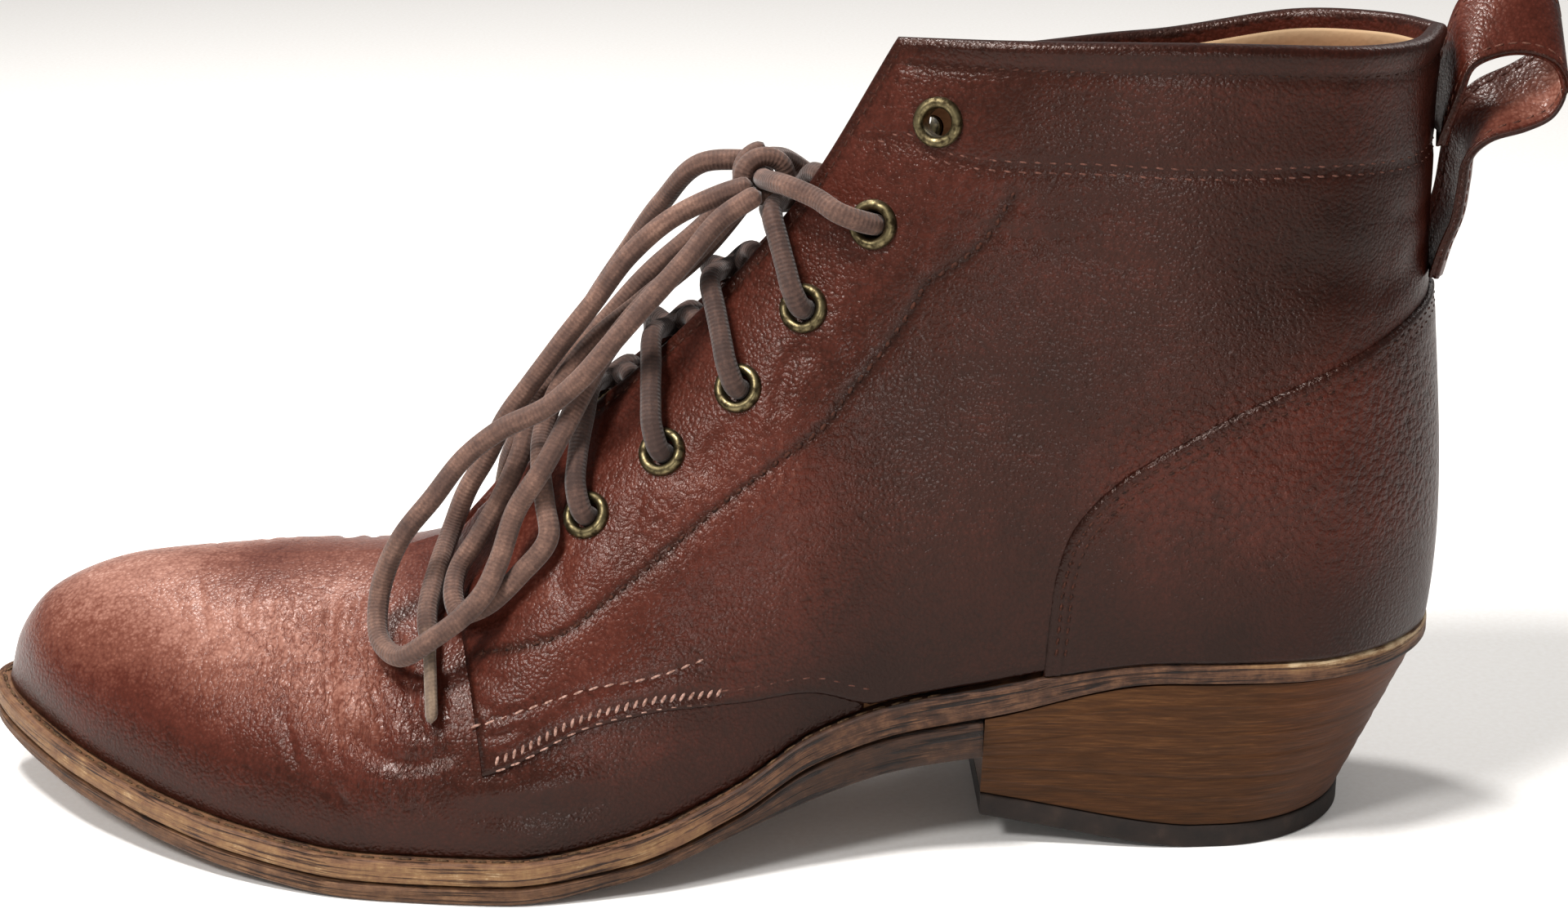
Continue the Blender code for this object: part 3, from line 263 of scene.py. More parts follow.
# Painted shade on the leather just above the welt: how dark, and how far up in metres
FOOT_SHADE = 0.42
FOOT_SHADE_REACH = 0.014
# Where the toe has flexed into fine wrinkles, and where the grain is coarse
FLEX = (
    (4.20, 0.700, 13.0, 0.7), (4.60, 0.560, 13.0, 1.0), (5.10, 0.420, 12.0, 1.0),
    (5.30, 0.250, 9.0, 0.8), (7.80, 0.540, 12.0, 0.35), (8.60, 0.480, 10.0, 0.35),
)
PEBBLES = (
    (7.60, 0.560, 13.0, 0.9), (8.50, 0.500, 12.0, 1.0), (12.4, 0.340, 22.0, 1.0),
    (13.6, 0.380, 20.0, 0.9), (11.6, 0.300, 14.0, 0.7), (9.60, 0.800, 18.0, 0.35),
    (10.80, 0.700, 16.0, 0.5), (14.6, 0.300, 20.0, 0.8),
)

# Seams of the quarter, as stations and shares
FACING_LINE = ((10.740, 0.753), (10.456, 0.672), (9.90, 0.600), (9.137, 0.543), (8.826, 0.513),
               (8.013, 0.531), (7.210, 0.494), (6.742, 0.479), (6.128, 0.539))
COLLAR_LINE = ((9.640, 0.930), (10.206, 0.814), (11.595, 0.799), (12.275, 0.798), (13.088, 0.810),
               (14.243, 0.812), (15.0, 0.812))
SECOND_LINE = ((5.960, 0.353), (6.381, 0.352), (6.922, 0.328), (7.430, 0.286), (7.80, 0.262))


def to_linear(code):
    """Linear colour of an sRGB hex value."""
    parts = np.array([int(code[k:k + 2], 16) for k in (0, 2, 4)]) / 255.0
    linear = np.where(parts <= 0.04045, parts / 12.92, ((parts + 0.055) / 1.055) ** 2.4)
    return tuple(float(x) for x in linear)


class BootSizes(bpy.types.PropertyGroup):
    """Sizes of the boot's surface detail."""
    grid_step: FloatProperty(
        name="Surface step", description="Distance between the grid lines of the leather",
        default=0.00125, min=0.0006, max=0.005, unit="LENGTH")
    crease: FloatProperty(
        name="Crease strength", description="Multiplies the depth of every crease",
        default=1.0, min=0.0, max=2.0, subtype="FACTOR")
    stitch_length: FloatProperty(
        name="Stitch length", description="Length of one stitch of the panels",
        default=0.0017, min=0.0005, max=0.005, unit="LENGTH")
    thread: FloatProperty(
        name="Thread thickness", description="Diameter of the panels' thread",
        default=0.00052, min=0.0002, max=0.002, unit="LENGTH")
    heel_layers: IntProperty(
        name="Heel layers", description="Number of leather layers in the heel", default=6, min=2, max=12)
    braid: FloatProperty(
        name="Braid pitch", description="Length of one turn of the lace's braid",
        default=0.0062, min=0.001, max=0.02, unit="LENGTH")


def colour_property(name, description, code):
    """Property for one colour, with its hex value as default."""
    return FloatVectorProperty(name=name, description=description, subtype="COLOR", size=3,
                               default=to_linear(code))


class BootColours(bpy.types.PropertyGroup):
    """Colours of the boot's materials."""
    lining: colour_property("Lining", "Tan of the lining and insole", "7d5432")
    heel: colour_property("Heel", "Brown of the stacked heel", "3c2412")
    brass: colour_property("Brass", "Colour of the eyelets", "786d50")
    lace: colour_property("Lace", "Grey brown of the lace", "54403a")


# Shape of the boot, read from the tables above


def cubic(places, values, lean, at):
    """Curve through values with the given slopes, read at any place."""
    k = np.clip(np.searchsorted(places, at, side="right") - 1, 0, len(places) - 2)
    h = np.diff(places)[k]
    w = np.clip((at - places[k]) / h, 0.0, 1.0)
    start = (1 + 2 * w) * (1 - w) ** 2 * values[k] + w * (1 - w) ** 2 * h * lean[k]
    end = w * w * (3 - 2 * w) * values[k + 1] + w * w * (w - 1) * h * lean[k + 1]
    return start + end


def smooth_read(places, values, at):
    """Cubic through the given values that never overshoots them, read at any place."""
    places = np.asarray(places, float)
    values = np.asarray(values, float)
    slopes = np.diff(values) / np.diff(places)
    product = slopes[:-1] * slopes[1:]
    total = slopes[:-1] + slopes[1:]
    total = np.where(total == 0.0, 1.0, total)
    middle = np.where(product > 0.0, 2.0 * product / total, 0.0)
    lean = np.concatenate([slopes[:1], middle, slopes[-1:]])
    return cubic(places, values, lean, np.asarray(at, float))


def smooth_path_values(marks, values, at):
    """Smooth curve through values, with slopes from the neighbours on both sides."""
    return cubic(marks, values, np.gradient(values, marks), at)


def walked_lengths(points):
    """Length walked along a line of points, at each of them."""
    return np.concatenate([[0.0], np.cumsum(np.linalg.norm(np.diff(points, axis=0), axis=1))])


def column(table, names, name):
    """One named column of a table."""
    k = names.index(name)
    return np.array([row[k] for row in table], float)


def sole_value(name, s):
    """A column of the sole profile at the distance s from the toe."""
    along = column(PROFILE, PROFILE_COLUMNS, "along")
    return smooth_read(along, column(PROFILE, PROFILE_COLUMNS, name), s / SOLE_LENGTH)


def tread_height(s):
    """Height of the outsole's underside."""
    return SOLE_LENGTH * sole_value("tread", s)


def seat_height(s):
    """Height of the midsole's top."""
    return SOLE_LENGTH * sole_value("seat", s)


def midsole_underside(s):
    """Height of the midsole's underside: its top less its thickness."""
    places = (0.0, 0.40, 0.60, 0.69, 0.80, 1.0)
    values = (MIDSOLE_FRONT, MIDSOLE_FRONT, MIDSOLE_WAIST, MIDSOLE_WAIST, MIDSOLE_HEEL, MIDSOLE_HEEL)
    return seat_height(s) - smooth_read(places, values, s / SOLE_LENGTH)


def rocker_height(s):
    """Height of the heel's underside: flat at the back, worn up towards the breast."""
    share = np.clip((ROCKER_AT - s) / (ROCKER_AT - BREAST_AT), 0.0, 1.0)
    return ROCKER_RISE * share ** 1.3


def edge_curve(turn, side):
    """Sole edge at turn 0 (toe tip) to 1 (heel back): a table's width times a round toe and heel."""
    s = SOLE_LENGTH * (1.0 - np.cos(np.pi * turn)) / 2.0
    along = column(OUTLINE, OUTLINE_COLUMNS, "along")
    centre = smooth_read(along, column(OUTLINE, OUTLINE_COLUMNS, "centre"), s / SOLE_LENGTH)
    name = "outer" if side < 0 else "inner"
    width = smooth_read(along, column(OUTLINE, OUTLINE_COLUMNS, name), s / SOLE_LENGTH)
    toe = np.sqrt(1.0 - (1.0 - np.clip(s / TOE_ROUND, 0.0, 1.0)) ** 2)
    heel = np.sqrt(1.0 - (1.0 - np.clip((SOLE_LENGTH - s) / HEEL_ROUND, 0.0, 1.0)) ** 2)
    return s, BALL_WIDTH * (centre + side * width * toe * heel)


def edge_point(turn, side, inset):
    """Sole edge moved inwards by inset, square to the edge."""
    step = 1e-4
    turn = np.asarray(turn, float)
    s, y = edge_curve(turn, side)
    s0, y0 = edge_curve(np.clip(turn - step, 0.0, 1.0), side)
    s1, y1 = edge_curve(np.clip(turn + step, 0.0, 1.0), side)
    ds = s1 - s0
    dy = side * (y1 - y0)
    length = np.hypot(ds, dy)
    ends = (turn <= 0.0) | (turn >= 1.0)
    ds = np.where(ends, 0.0, ds / length)
    dy = np.where(ends, np.where(turn <= 0.0, 1.0, -1.0), dy / length)
    return s + inset * dy, y - side * inset * ds


def turn_at(along):
    """Turn of the sole edge at a share of its length."""
    return np.arccos(1.0 - 2.0 * np.clip(along, 0.0, 1.0)) / np.pi


def station_value(name, u):
    """A column of the section table at station u; the top line may bend at throat and corner."""
    values = column(STATIONS, STATION_COLUMNS, name)
    rows = np.arange(len(values), dtype=float)
    if name == "foot":
        values = turn_at(values)
    if name not in ("top", "middle", "open", "high", "sag"):
        return smooth_read(rows, values, u)
    corner = int(CORNER)
    throat = int(THROAT)
    front = smooth_read(rows[:throat + 1], values[:throat + 1], u)
    facing = smooth_read(rows[throat:corner + 1], values[throat:corner + 1], u)
    collar = smooth_read(rows[corner:], values[corner:], u)
    return np.where(u <= THROAT, front, np.where(u <= CORNER, facing, collar))


def section_point(u, v, side):
    """Surface of the last: a cubic curve from the sole at v 0 to the top line at v 1, at station u."""
    u, v = np.broadcast_arrays(np.asarray(u, float), np.asarray(v, float))
    turn = station_value("foot", u)
    edge_s, edge_y = edge_curve(turn, side)
    welt = BALL_WIDTH * sole_value("welt", edge_s)
    foot_s, foot_y = edge_point(turn, side, welt)
    foot_z = seat_height(foot_s) + FIT_GAP
    out_s, out_y = edge_point(turn, side, welt - 0.001)
    out_s = (out_s - foot_s) / 0.001
    out_y = (out_y - foot_y) / 0.001
    top_s = SOLE_LENGTH * station_value("top", u)
    top_y = BALL_WIDTH * (station_value("middle", u) + side * station_value("open", u))
    top_z = SHAFT_HEIGHT * station_value("high", u)
    if side > 0:
        top_z = top_z - INNER_DROP * station_value("sag", u)
    tip_s, tip_y = edge_point(0.0, side, BALL_WIDTH * float(sole_value("welt", 0.0)))
    pole = np.clip(u, 0.0, 1.0)
    top_s = tip_s * (1.0 - pole) + top_s * pole
    top_y = tip_y * (1.0 - pole) + top_y * pole
    top_z = (seat_height(tip_s) + FIT_GAP) * (1.0 - pole) + top_z * pole
    rise = BALL_WIDTH * station_value("rise", u)
    push = BALL_WIDTH * station_value("push", u)
    reach = BALL_WIDTH * station_value("reach", u)
    back = BALL_WIDTH * station_value("back", u)
    down = BALL_WIDTH * station_value("down", u)
    start = np.stack([foot_s, foot_y, foot_z], -1)
    leave = np.stack([foot_s + push * out_s, foot_y + push * out_y, foot_z + rise], -1)
    arrive = np.stack([top_s + back, top_y + side * reach, top_z - down], -1)
    end = np.stack([top_s, top_y, top_z], -1)
    w = v[..., None]
    near = (1 - w) ** 3 * start + 3 * w * (1 - w) ** 2 * leave
    return near + 3 * w * w * (1 - w) * arrive + w ** 3 * end


def surface_normal(u, v, side):
    """Outward unit normal of the last: the cross product of its two directions."""
    u, v = np.broadcast_arrays(np.asarray(u, float), np.asarray(v, float))
    step = 1e-3
    base = np.maximum(u, 0.02)
    before = section_point(np.maximum(base - step, 0.01), v, side)
    along = section_point(np.minimum(base + step, BACK_SEAM), v, side) - before
    crest = section_point(base, v, side) - before
    up = (section_point(base, np.minimum(v + step, 1.0), side)
          - section_point(base, np.maximum(v - step, 0.0), side))
    normal = side * np.cross(up, along)
    flat_ridge = np.stack([-crest[..., 2], np.zeros_like(v), crest[..., 0]], -1)
    flat_seam = np.stack([up[..., 2], np.zeros_like(v), -up[..., 0]], -1)
    normal = np.where(((v >= 1.0) & (u <= THROAT))[..., None], flat_ridge, normal)
    normal = np.where((u >= BACK_SEAM)[..., None], flat_seam, normal)
    normal = np.where((u <= 0.0)[..., None], np.array([-1.0, 0.0, 0.0]), normal)
    return normal / np.linalg.norm(normal, axis=-1, keepdims=True)


def upper_point(u, v, side, lift=0.0):
    """Point of the last moved outwards by lift along its normal; the foot keeps its height."""
    u, v, lift = np.broadcast_arrays(np.asarray(u, float), np.asarray(v, float), np.asarray(lift, float))
    here = section_point(u, v, side)
    moved = here + lift[..., None] * surface_normal(u, v, side)
    moved[..., 2] = np.where(v <= 0.0, here[..., 2], moved[..., 2])
    return moved


def section_length(u, side):
    """Length of the section at station u from the sole to the top."""
    points = section_point(np.asarray(u, float)[:, None], np.linspace(0.0, 1.0, 40)[None, :], side)
    return np.linalg.norm(np.diff(points, axis=1), axis=2).sum(1)


def even_stations(start, end, step, share=0.6):
    """Stations from start to end, evenly spaced along the leather at one share of its height."""
    fine = np.linspace(start, end, 1500)
    points = section_point(fine, np.full_like(fine, share), -1)
    walked = walked_lengths(points) + (fine - start) * 0.0015
    count = int(np.ceil(walked[-1] / step)) + 1
    return np.interp(np.linspace(0.0, walked[-1], count), walked, fine)


def even_line(line, side, pitch):
    """Places along a line of stations and shares, evenly spaced at pitch on the leather."""
    line = np.array(line, float)
    marks = np.arange(len(line), dtype=float)
    fine = np.linspace(0.0, len(line) - 1.0, 60 * len(line))
    u, v = [smooth_path_values(marks, line[:, k], fine) for k in (0, 1)]
    walked = walked_lengths(section_point(u, v, side))
    at = np.linspace(0.0, walked[-1], max(2, int(walked[-1] / pitch)))
    return np.interp(at, walked, u), np.interp(at, walked, v)


def shift_line(u, v, side, distance):
    """The line moved sideways over the leather by distance, to its left as seen from outside."""
    step = 1e-3
    along_u = (section_point(u + step, v, side) - section_point(u - step, v, side)) / (2 * step)
    along_v = (section_point(u, v + step, side) - section_point(u, v - step, side)) / (2 * step)
    tangent = np.gradient(section_point(u, v, side), axis=0)
    tangent /= np.linalg.norm(tangent, axis=1, keepdims=True) + 1e-12
    left = np.cross(surface_normal(u, v, side), tangent)
    metric_uu = (along_u * along_u).sum(1)
    metric_vv = (along_v * along_v).sum(1)
    metric_uv = (along_u * along_v).sum(1)
    left_u = (left * along_u).sum(1)
    left_v = (left * along_v).sum(1)
    size = metric_uu * metric_vv - metric_uv ** 2
    du = (left_u * metric_vv - left_v * metric_uv) / size
    dv = (left_v * metric_uu - left_u * metric_uv) / size
    return u + distance * du, v + distance * dv


def read_edge(table, u):
    """Share of the section's height of a panel edge at station u."""
    return smooth_read([row[0] for row in table], [row[1] for row in table], u)


def line_field(points, line, width):
    """Nearness of points to a line, 1 on it, fading over width and towards its two ends."""
    out = np.zeros(len(points))
    low = line.min(0) - 3.0 * width
    high = line.max(0) + 3.0 * width
    near = np.nonzero(((points > low) & (points < high)).all(1))[0]
    if len(near) == 0:
        return out
    gaps = np.linalg.norm(points[near][:, None, :] - line[None, :, :], axis=2)
    closest = gaps.argmin(1)
    share = closest / (len(line) - 1.0)
    taper = np.clip(np.minimum(share, 1.0 - share) * 5.0, 0.0, 1.0)
    taper = taper * taper * (3.0 - 2.0 * taper)
    out[near] = np.exp(-(gaps.min(1) / width) ** 2) * taper
    return out


def spots(points, table):
    """Sum of soft round spots on both sides: station, share, radius in millimetres and amount."""
    total = np.zeros(len(points))
    for side in (-1, 1):
        for u, v, radius, amount in table:
            centre = section_point([u], [v], side)[0]
            away = np.linalg.norm(points - centre, axis=1) / (radius * 0.001)
            total += amount * np.exp(-away ** 2)
    return total


@lru_cache(maxsize=1)
def crease_paths():
    """Every crease on both sides as depth, width and points, read once."""
    out = []
    for side in (-1, 1):
        for depth, width, line in CREASES:
            u, v = even_line(line, side, 0.0006)
            out.append((depth, 0.001 * width, section_point(u, v, side)))
    return out


def relief(points):
    """Height of the creases and swellings: troughs with soft banks along lines, and round bulges."""
    strength = bpy.context.scene.boot_sizes.crease
    flat = points.reshape(-1, 3)
    height = spots(flat, SWELLS) * 0.001
    for depth, wide, path in crease_paths():
        trough = line_field(flat, path, wide)
        bank = line_field(flat, path, wide * 2.2)
        height += -0.001 * depth * (1.25 * trough - 0.45 * bank)
    height = np.where(height < 0.0, -RELIEF_FLOOR * np.tanh(-height / RELIEF_FLOOR), height)
    return strength * height.reshape(points.shape[:-1])


# Meshes


class Skin:
    """Collects grids of points and closes them into one mesh."""

    def __init__(self):
        self.points = []
        self.marks = []
        self.faces = []
        self.corners = []
        self.count = 0

    def add(self, points, marks=None):
        """Add a grid of points, with up to four marks each, and return its index grid."""
        points = np.asarray(points, float)
        size = points[..., 0].size
        self.points.append(points.reshape(-1, 3))
        self.marks.append(np.zeros((size, 4)) if marks is None else np.asarray(marks, float).reshape(-1, 4))
        ids = np.arange(self.count, self.count + size).reshape(points.shape[:-1])
        self.count += size
        return ids

    def quads(self, ids, flat=None):
        """Faces between neighbouring rows and columns; flat holds the pattern's coordinates."""
        picks = (np.s_[:-1, :-1], np.s_[1:, :-1], np.s_[1:, 1:], np.s_[:-1, 1:])
        faces = np.stack([ids[p].ravel() for p in picks], 1)
        self.faces.append(faces)
        if flat is None:
            self.corners.append(np.zeros((len(faces), 4, 2)))
        else:
            self.corners.append(np.stack([flat[p].reshape(-1, 2) for p in picks], 1))

    def strip(self, first, second):
        """Faces between two rows of indices."""
        self.quads(np.stack([first, second]))

    def shell(self, outside, inside, *rims):
        """Two sheets, and a strip between them along every rim."""
        self.quads(outside)
        self.quads(inside)
        for rim in rims:
            self.strip(outside[rim], inside[rim])

    def spindles(self, centres, ahead, across, up, x, girth, sink=0.0):
        """One closed spindle at every centre, with rings at x of a radius, sunk along up."""
        angle = np.linspace(0.0, 2 * np.pi, 7)[:-1]
        high = np.reshape(sink, (-1, 1)) + girth[:, None] * np.sin(angle)
        wide = girth[:, None] * np.cos(angle)
        rings = (centres[:, None, None] + ahead[:, None, None] * x[:, None, None]
                 + up[:, None, None] * high[..., None] + across[:, None, None] * wide[..., None])
        ids = self.add(rings)
        for one in np.concatenate([ids, ids[:, :, :1]], 2):
            self.quads(one)

    def build(self, name, material, mark_names=()):
        """Make the object in the frame's own place, merge shared points and turn faces outwards."""
        points = np.concatenate(self.points)
        points[:, 0] -= HEEL_REST_AT
        faces = np.concatenate(self.faces)
        mesh = bpy.data.meshes.new(name)
        mesh.from_pydata(points.tolist(), [], faces.tolist())
        flat = mesh.uv_layers.new(name="pattern")
        flat.data.foreach_set("uv", np.concatenate(self.corners).ravel())
        marks = np.concatenate(self.marks)
        for k, mark in enumerate(mark_names):
            layer = mesh.attributes.new(mark, "FLOAT", "POINT")
            layer.data.foreach_set("value", marks[:, k].astype(np.float32))
        mesh.materials.append(material)
        bm = bmesh.new()
        bm.from_mesh(mesh)
        bmesh.ops.remove_doubles(bm, verts=bm.verts, dist=2e-6)
        bmesh.ops.dissolve_degenerate(bm, dist=1e-7, edges=bm.edges)
        bmesh.ops.recalc_face_normals(bm, faces=bm.faces)
        bm.to_mesh(mesh)
        bm.free()
        mesh.shade_smooth()
        obj = bpy.data.objects.new(name, mesh)
        bpy.context.scene.collection.objects.link(obj)
        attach(obj, BODY)
        return obj


def leather_marks(points, extra=0.0):
    """Tone, flex, pebble and edge of the leather at each point."""
    flat = points.reshape(-1, 3)
    above = np.maximum(flat[:, 2] - seat_height(flat[:, 0]), 0.0)
    # Tone: painted highlights and shade from the spots table, darkened by painted shade just above the welt
    tone = spots(flat, TONE_AND_PAINTED_LIGHT) - FOOT_SHADE * np.exp(-(above / FOOT_SHADE_REACH) ** 1.5)
    flex = np.clip(spots(flat, FLEX), 0.0, 1.0)
    pebble = np.clip(spots(flat, PEBBLES), 0.0, 1.0)
    edge = np.broadcast_to(np.asarray(extra, float), points.shape[:-1]).ravel()
    return np.stack([tone, flex, pebble, edge], 1)


def near_line(points, line):
    """Distance of each point to a line of points."""
    flat = points.reshape(-1, 3)
    out = np.full(len(flat), 1.0)
    low = line.min(0) - 0.008
    high = line.max(0) + 0.008
    near = np.nonzero(((flat > low) & (flat < high)).all(1))[0]
    for part in np.array_split(near, max(1, len(near) // 4000)):
        if len(part):
            out[part] = np.sqrt(((flat[part][:, None, :] - line[None]) ** 2).sum(2)).min(1)
    return out.reshape(points.shape[:-1])


def rounded(distance, reach):
    """Share of full height at a distance from a cut edge: a quarter circle."""
    w = np.clip(distance / reach, 0.0, 1.0)
    return np.sqrt(1.0 - (1.0 - w) ** 2)


def share_rows(low, high, lengths, step, first):
    """Shares of the section from low to high: close rows by both edges, even rows between."""
    count = int(np.ceil((lengths * (high - low)).max() / step))
    near = np.array([0.0, 0.25, 0.55, 1.0]) * first
    room = lengths * (high - low)
    edge = np.minimum(near[None, :] / room[:, None], 0.08)
    last = edge[:, -1:]
    middle = last + (1.0 - 2.0 * last) * np.linspace(0.0, 1.0, count)[None, :]
    share = np.concatenate([edge[:, :-1], middle, 1.0 - edge[:, :-1][:, ::-1]], 1)
    return low[:, None] + (high - low)[:, None] * share


def quarter_lines():
    """Stitch lines of the quarter as stations and shares for one side: name, places, row offsets."""
    u = np.linspace(6.35, 9.98, 60)
    edge_share = 1.0 - 0.0030 / section_length(u, -1)
    low_u = np.linspace(6.10, 7.95, 30)
    low_v = read_edge(QUARTER_EDGE, low_u) + 0.0022 / section_length(low_u, -1)
    thin_u = np.linspace(8.0, 9.3, 20)
    thin_v = read_edge(QUARTER_EDGE, thin_u) + 0.0024 / section_length(thin_u, -1)
    rim_u = np.linspace(10.05, BACK_SEAM, 60)
    rim_v = 1.0 - 0.0052 / section_length(rim_u, -1)
    return {
        "facing": np.array(FACING_LINE),
        "front": np.stack([u, edge_share], 1),
        "collar": np.array(COLLAR_LINE),
        "lower": np.stack([low_u, low_v], 1),
        "thin": np.stack([thin_u, thin_v], 1),
        "second": np.array(SECOND_LINE),
        "rim": np.stack([rim_u, rim_v], 1),
    }


def make_vamp(material):
    """Vamp: the last's surface from the toe to under the quarters, with creases, closed inside."""
    sizes = bpy.context.scene.boot_sizes
    fine = 0.62 * sizes.grid_step
    u = np.concatenate([np.linspace(0.0, 0.9, 16), even_stations(0.95, 3.4, sizes.grid_step)[:-1],
                        even_stations(3.4, 6.1, fine)[:-1], even_stations(6.1, 9.3, sizes.grid_step)])
    lengths = section_length(u, -1)
    v = share_rows(np.zeros_like(u), np.ones_like(u), np.maximum(lengths, 0.004),
                   sizes.grid_step * 0.9, 0.0012)
    opened = int(np.searchsorted(u, THROAT))
    skin = Skin()
    for side in (-1, 1):
        base = upper_point(u[:, None], v, side)
        rise = relief(base)
        fade = np.clip(u / 0.8, 0.0, 1.0)[:, None]
        tuck = -0.0004 * np.clip((u - 6.6) / 0.8, 0.0, 1.0)[:, None]
        outside = skin.add(upper_point(u[:, None], v, side, rise * fade + tuck), leather_marks(base))
        inside = skin.add(upper_point(u[:, None], v, side, VAMP_INNER))
        skin.shell(outside, inside, np.s_[:, 0], np.s_[opened:, -1], np.s_[-1])
    vamp = skin.build("vamp", material, LEATHER_MARKS)
    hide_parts("upper")
    return vamp


def collar_roll(u):
    """Share of the collar's roll at every station: none in front of the corner, full behind it."""
    return np.clip((u - 9.9) / 0.5, 0.0, 1.0)[:, None]


def make_quarter(material):
    """Quarters: a raised panel on both sides with a round cut edge, a rolled collar and a closed back."""
    sizes = bpy.context.scene.boot_sizes
    u = np.concatenate([[QUARTER_FRONT, 5.962, 5.98, 6.005, 6.04],
                        even_stations(6.09, BACK_SEAM, sizes.grid_step, 0.7)])
    low = read_edge(QUARTER_EDGE, u)
    lines = quarter_lines()
    skin = Skin()
    for side in (-1, 1):
        lengths = section_length(u, side)
        thick = 0.0016 + 0.0002 * np.clip(u - CORNER, 0.0, 1.0)
        high = 1.0 - thick / lengths
        high = np.where(u < 6.2, 0.975, high)
        v = share_rows(low, high, lengths, sizes.grid_step, EDGE_REACH)
        base = upper_point(u[:, None], v, side)
        cut_u = np.concatenate([np.full(60, QUARTER_FRONT), u])
        cut_v = np.concatenate([np.linspace(0.975, low[0], 60), low])
        fine = np.linspace(0.0, len(cut_u) - 1.0, 620)
        marks = np.arange(len(cut_u), dtype=float)
        cut = section_point(np.interp(fine, marks, cut_u), np.interp(fine, marks, cut_v), side)
        away = near_line(base, cut)
        reach = EDGE_REACH + 0.0010 * np.exp(-((u[:, None] - QUARTER_FRONT) / 0.25) ** 2)
        rise = relief(base) + QUARTER_STEP * rounded(away, reach) - 0.0002 * (away < 1e-5)
        edge = 0.8 * np.exp(-(away / 0.0012) ** 2)
        # Each seam sinks into a trough that is painted darker through the edge mark: painted shade in the
        # troughs
        for name, depth, width, trough_shade in (("facing", 0.34, 0.9, 0.9), ("collar", 0.34, 1.3, 0.25),
                                         ("lower", 0.30, 1.0, 0.5), ("second", 0.26, 0.8, 0.2),
                                         ("front", 0.26, 0.8, 0.5), ("rim", 0.42, 1.0, 0.6)):
            at_u, at_v = even_line(lines[name], side, 0.0007)
            path = section_point(np.minimum(at_u, BACK_SEAM), at_v, side)
            trough = np.exp(-(near_line(base, path) / (width * 0.001)) ** 2)
            rise = rise - 0.001 * depth * trough
            edge = np.maximum(edge, trough_shade * trough)
        roll = collar_roll(u)
        to_top = (1.0 - v) * lengths[:, None]
        rise = rise + 0.0005 * roll * np.exp(-(to_top / 0.0026) ** 2)
        edge = np.maximum(edge, 0.9 * np.exp(-(to_top / 0.0028) ** 2) * (u > 6.2)[:, None])
        outside = skin.add(upper_point(u[:, None], v, side, rise), leather_marks(base, edge))
        inner_lift = LEATHER_INNER - 0.0009 * roll
        crown = high[:, None]
        normal = surface_normal(u[:, None], crown, side)
        centre = section_point(u[:, None], crown, side)
        upward = section_point(u[:, None], np.minimum(crown + 0.004, 1.0), side) - centre
        upward /= np.linalg.norm(upward, axis=-1, keepdims=True)
        top_lift = rise[:, -1:]
        middle = (top_lift + inner_lift) / 2
        half = (top_lift - inner_lift) / 2
        angle = np.linspace(0.0, np.pi, 11)[None, 1:]
        over = np.cos(angle)
        over = np.sign(over) * np.abs(over) ** 0.8
        tall = thick[:, None] * np.sin(angle) ** 0.8 * np.where(u < 6.2, 0.1, 1.0)[:, None]
        rim_points = centre + (middle + half * over)[..., None] * normal + tall[..., None] * upward
        rim = skin.add(rim_points, leather_marks(rim_points, 0.55))
        rim = np.concatenate([outside[:, -1:], rim], 1)
        inner_points = upper_point(u[:, None], v[:, ::-1], side, inner_lift)
        inner_points[:, 0] = rim_points[:, -1]
        inside = skin.add(inner_points)
        skin.quads(outside)
        skin.quads(rim)
        skin.quads(inside)
        skin.strip(rim[:, -1], inside[:, 0])
        skin.strip(outside[:, 0], inside[:, -1])
        front = np.concatenate([outside[0], rim[0, 1:], inside[0]])
        half_count = len(front) // 2
        skin.strip(front[:half_count], front[::-1][:half_count])
    quarter = skin.build("quarters", material, LEATHER_MARKS)
    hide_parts("upper")
    return quarter


def make_counter(material):
    """Heel counter: a panel raised over the quarters, round at its cut edge, joined across the back."""
    sizes = bpy.context.scene.boot_sizes
    u = np.concatenate([np.linspace(COUNTER_FRONT, 11.10, 26)[:-1],
                        even_stations(11.10, BACK_SEAM, sizes.grid_step, 0.4)])
    high = read_edge(COUNTER_EDGE, u)
    lift = QUARTER_STEP + COUNTER_STEP
    skin = Skin()
    for side in (-1, 1):
        lengths = section_length(u, side)
        share = np.linspace(0.0, 1.0, 62)
        share = np.concatenate([share[:-1], 1.0 - np.array([0.010, 0.006, 0.003, 0.0])])
        v = high[:, None] * share[None, :]
        v[:, 0] = 0.0
        base = upper_point(u[:, None], v, side)
        fine = np.concatenate([np.linspace(COUNTER_FRONT, 11.1, 160), np.linspace(u[0], u[-1], 400)])
        cut = section_point(fine, read_edge(COUNTER_EDGE, fine), side)
        away = near_line(base, cut)
        reach = 0.0011 + 0.0024 * np.exp(-((u[:, None] - COUNTER_FRONT) / 0.30) ** 2)
        rise = relief(base) + 0.0006 + (lift - 0.0006) * rounded(away, reach)
        for offset in COUNTER_ROWS:
            rise = rise - COUNTER_GROOVE * np.exp(-((away - offset) / 0.0006) ** 2)
        edge = np.exp(-(away / 0.0012) ** 2)
        outside = skin.add(upper_point(u[:, None], v, side, rise), leather_marks(base, edge))
        inside = skin.add(upper_point(u[:, None], v, side, 0.0003))
        skin.shell(outside, inside, np.s_[:, 0], np.s_[:, -1], np.s_[0])
    counter = skin.build("heel_counter", material, LEATHER_MARKS)
    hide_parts("upper")
    return counter


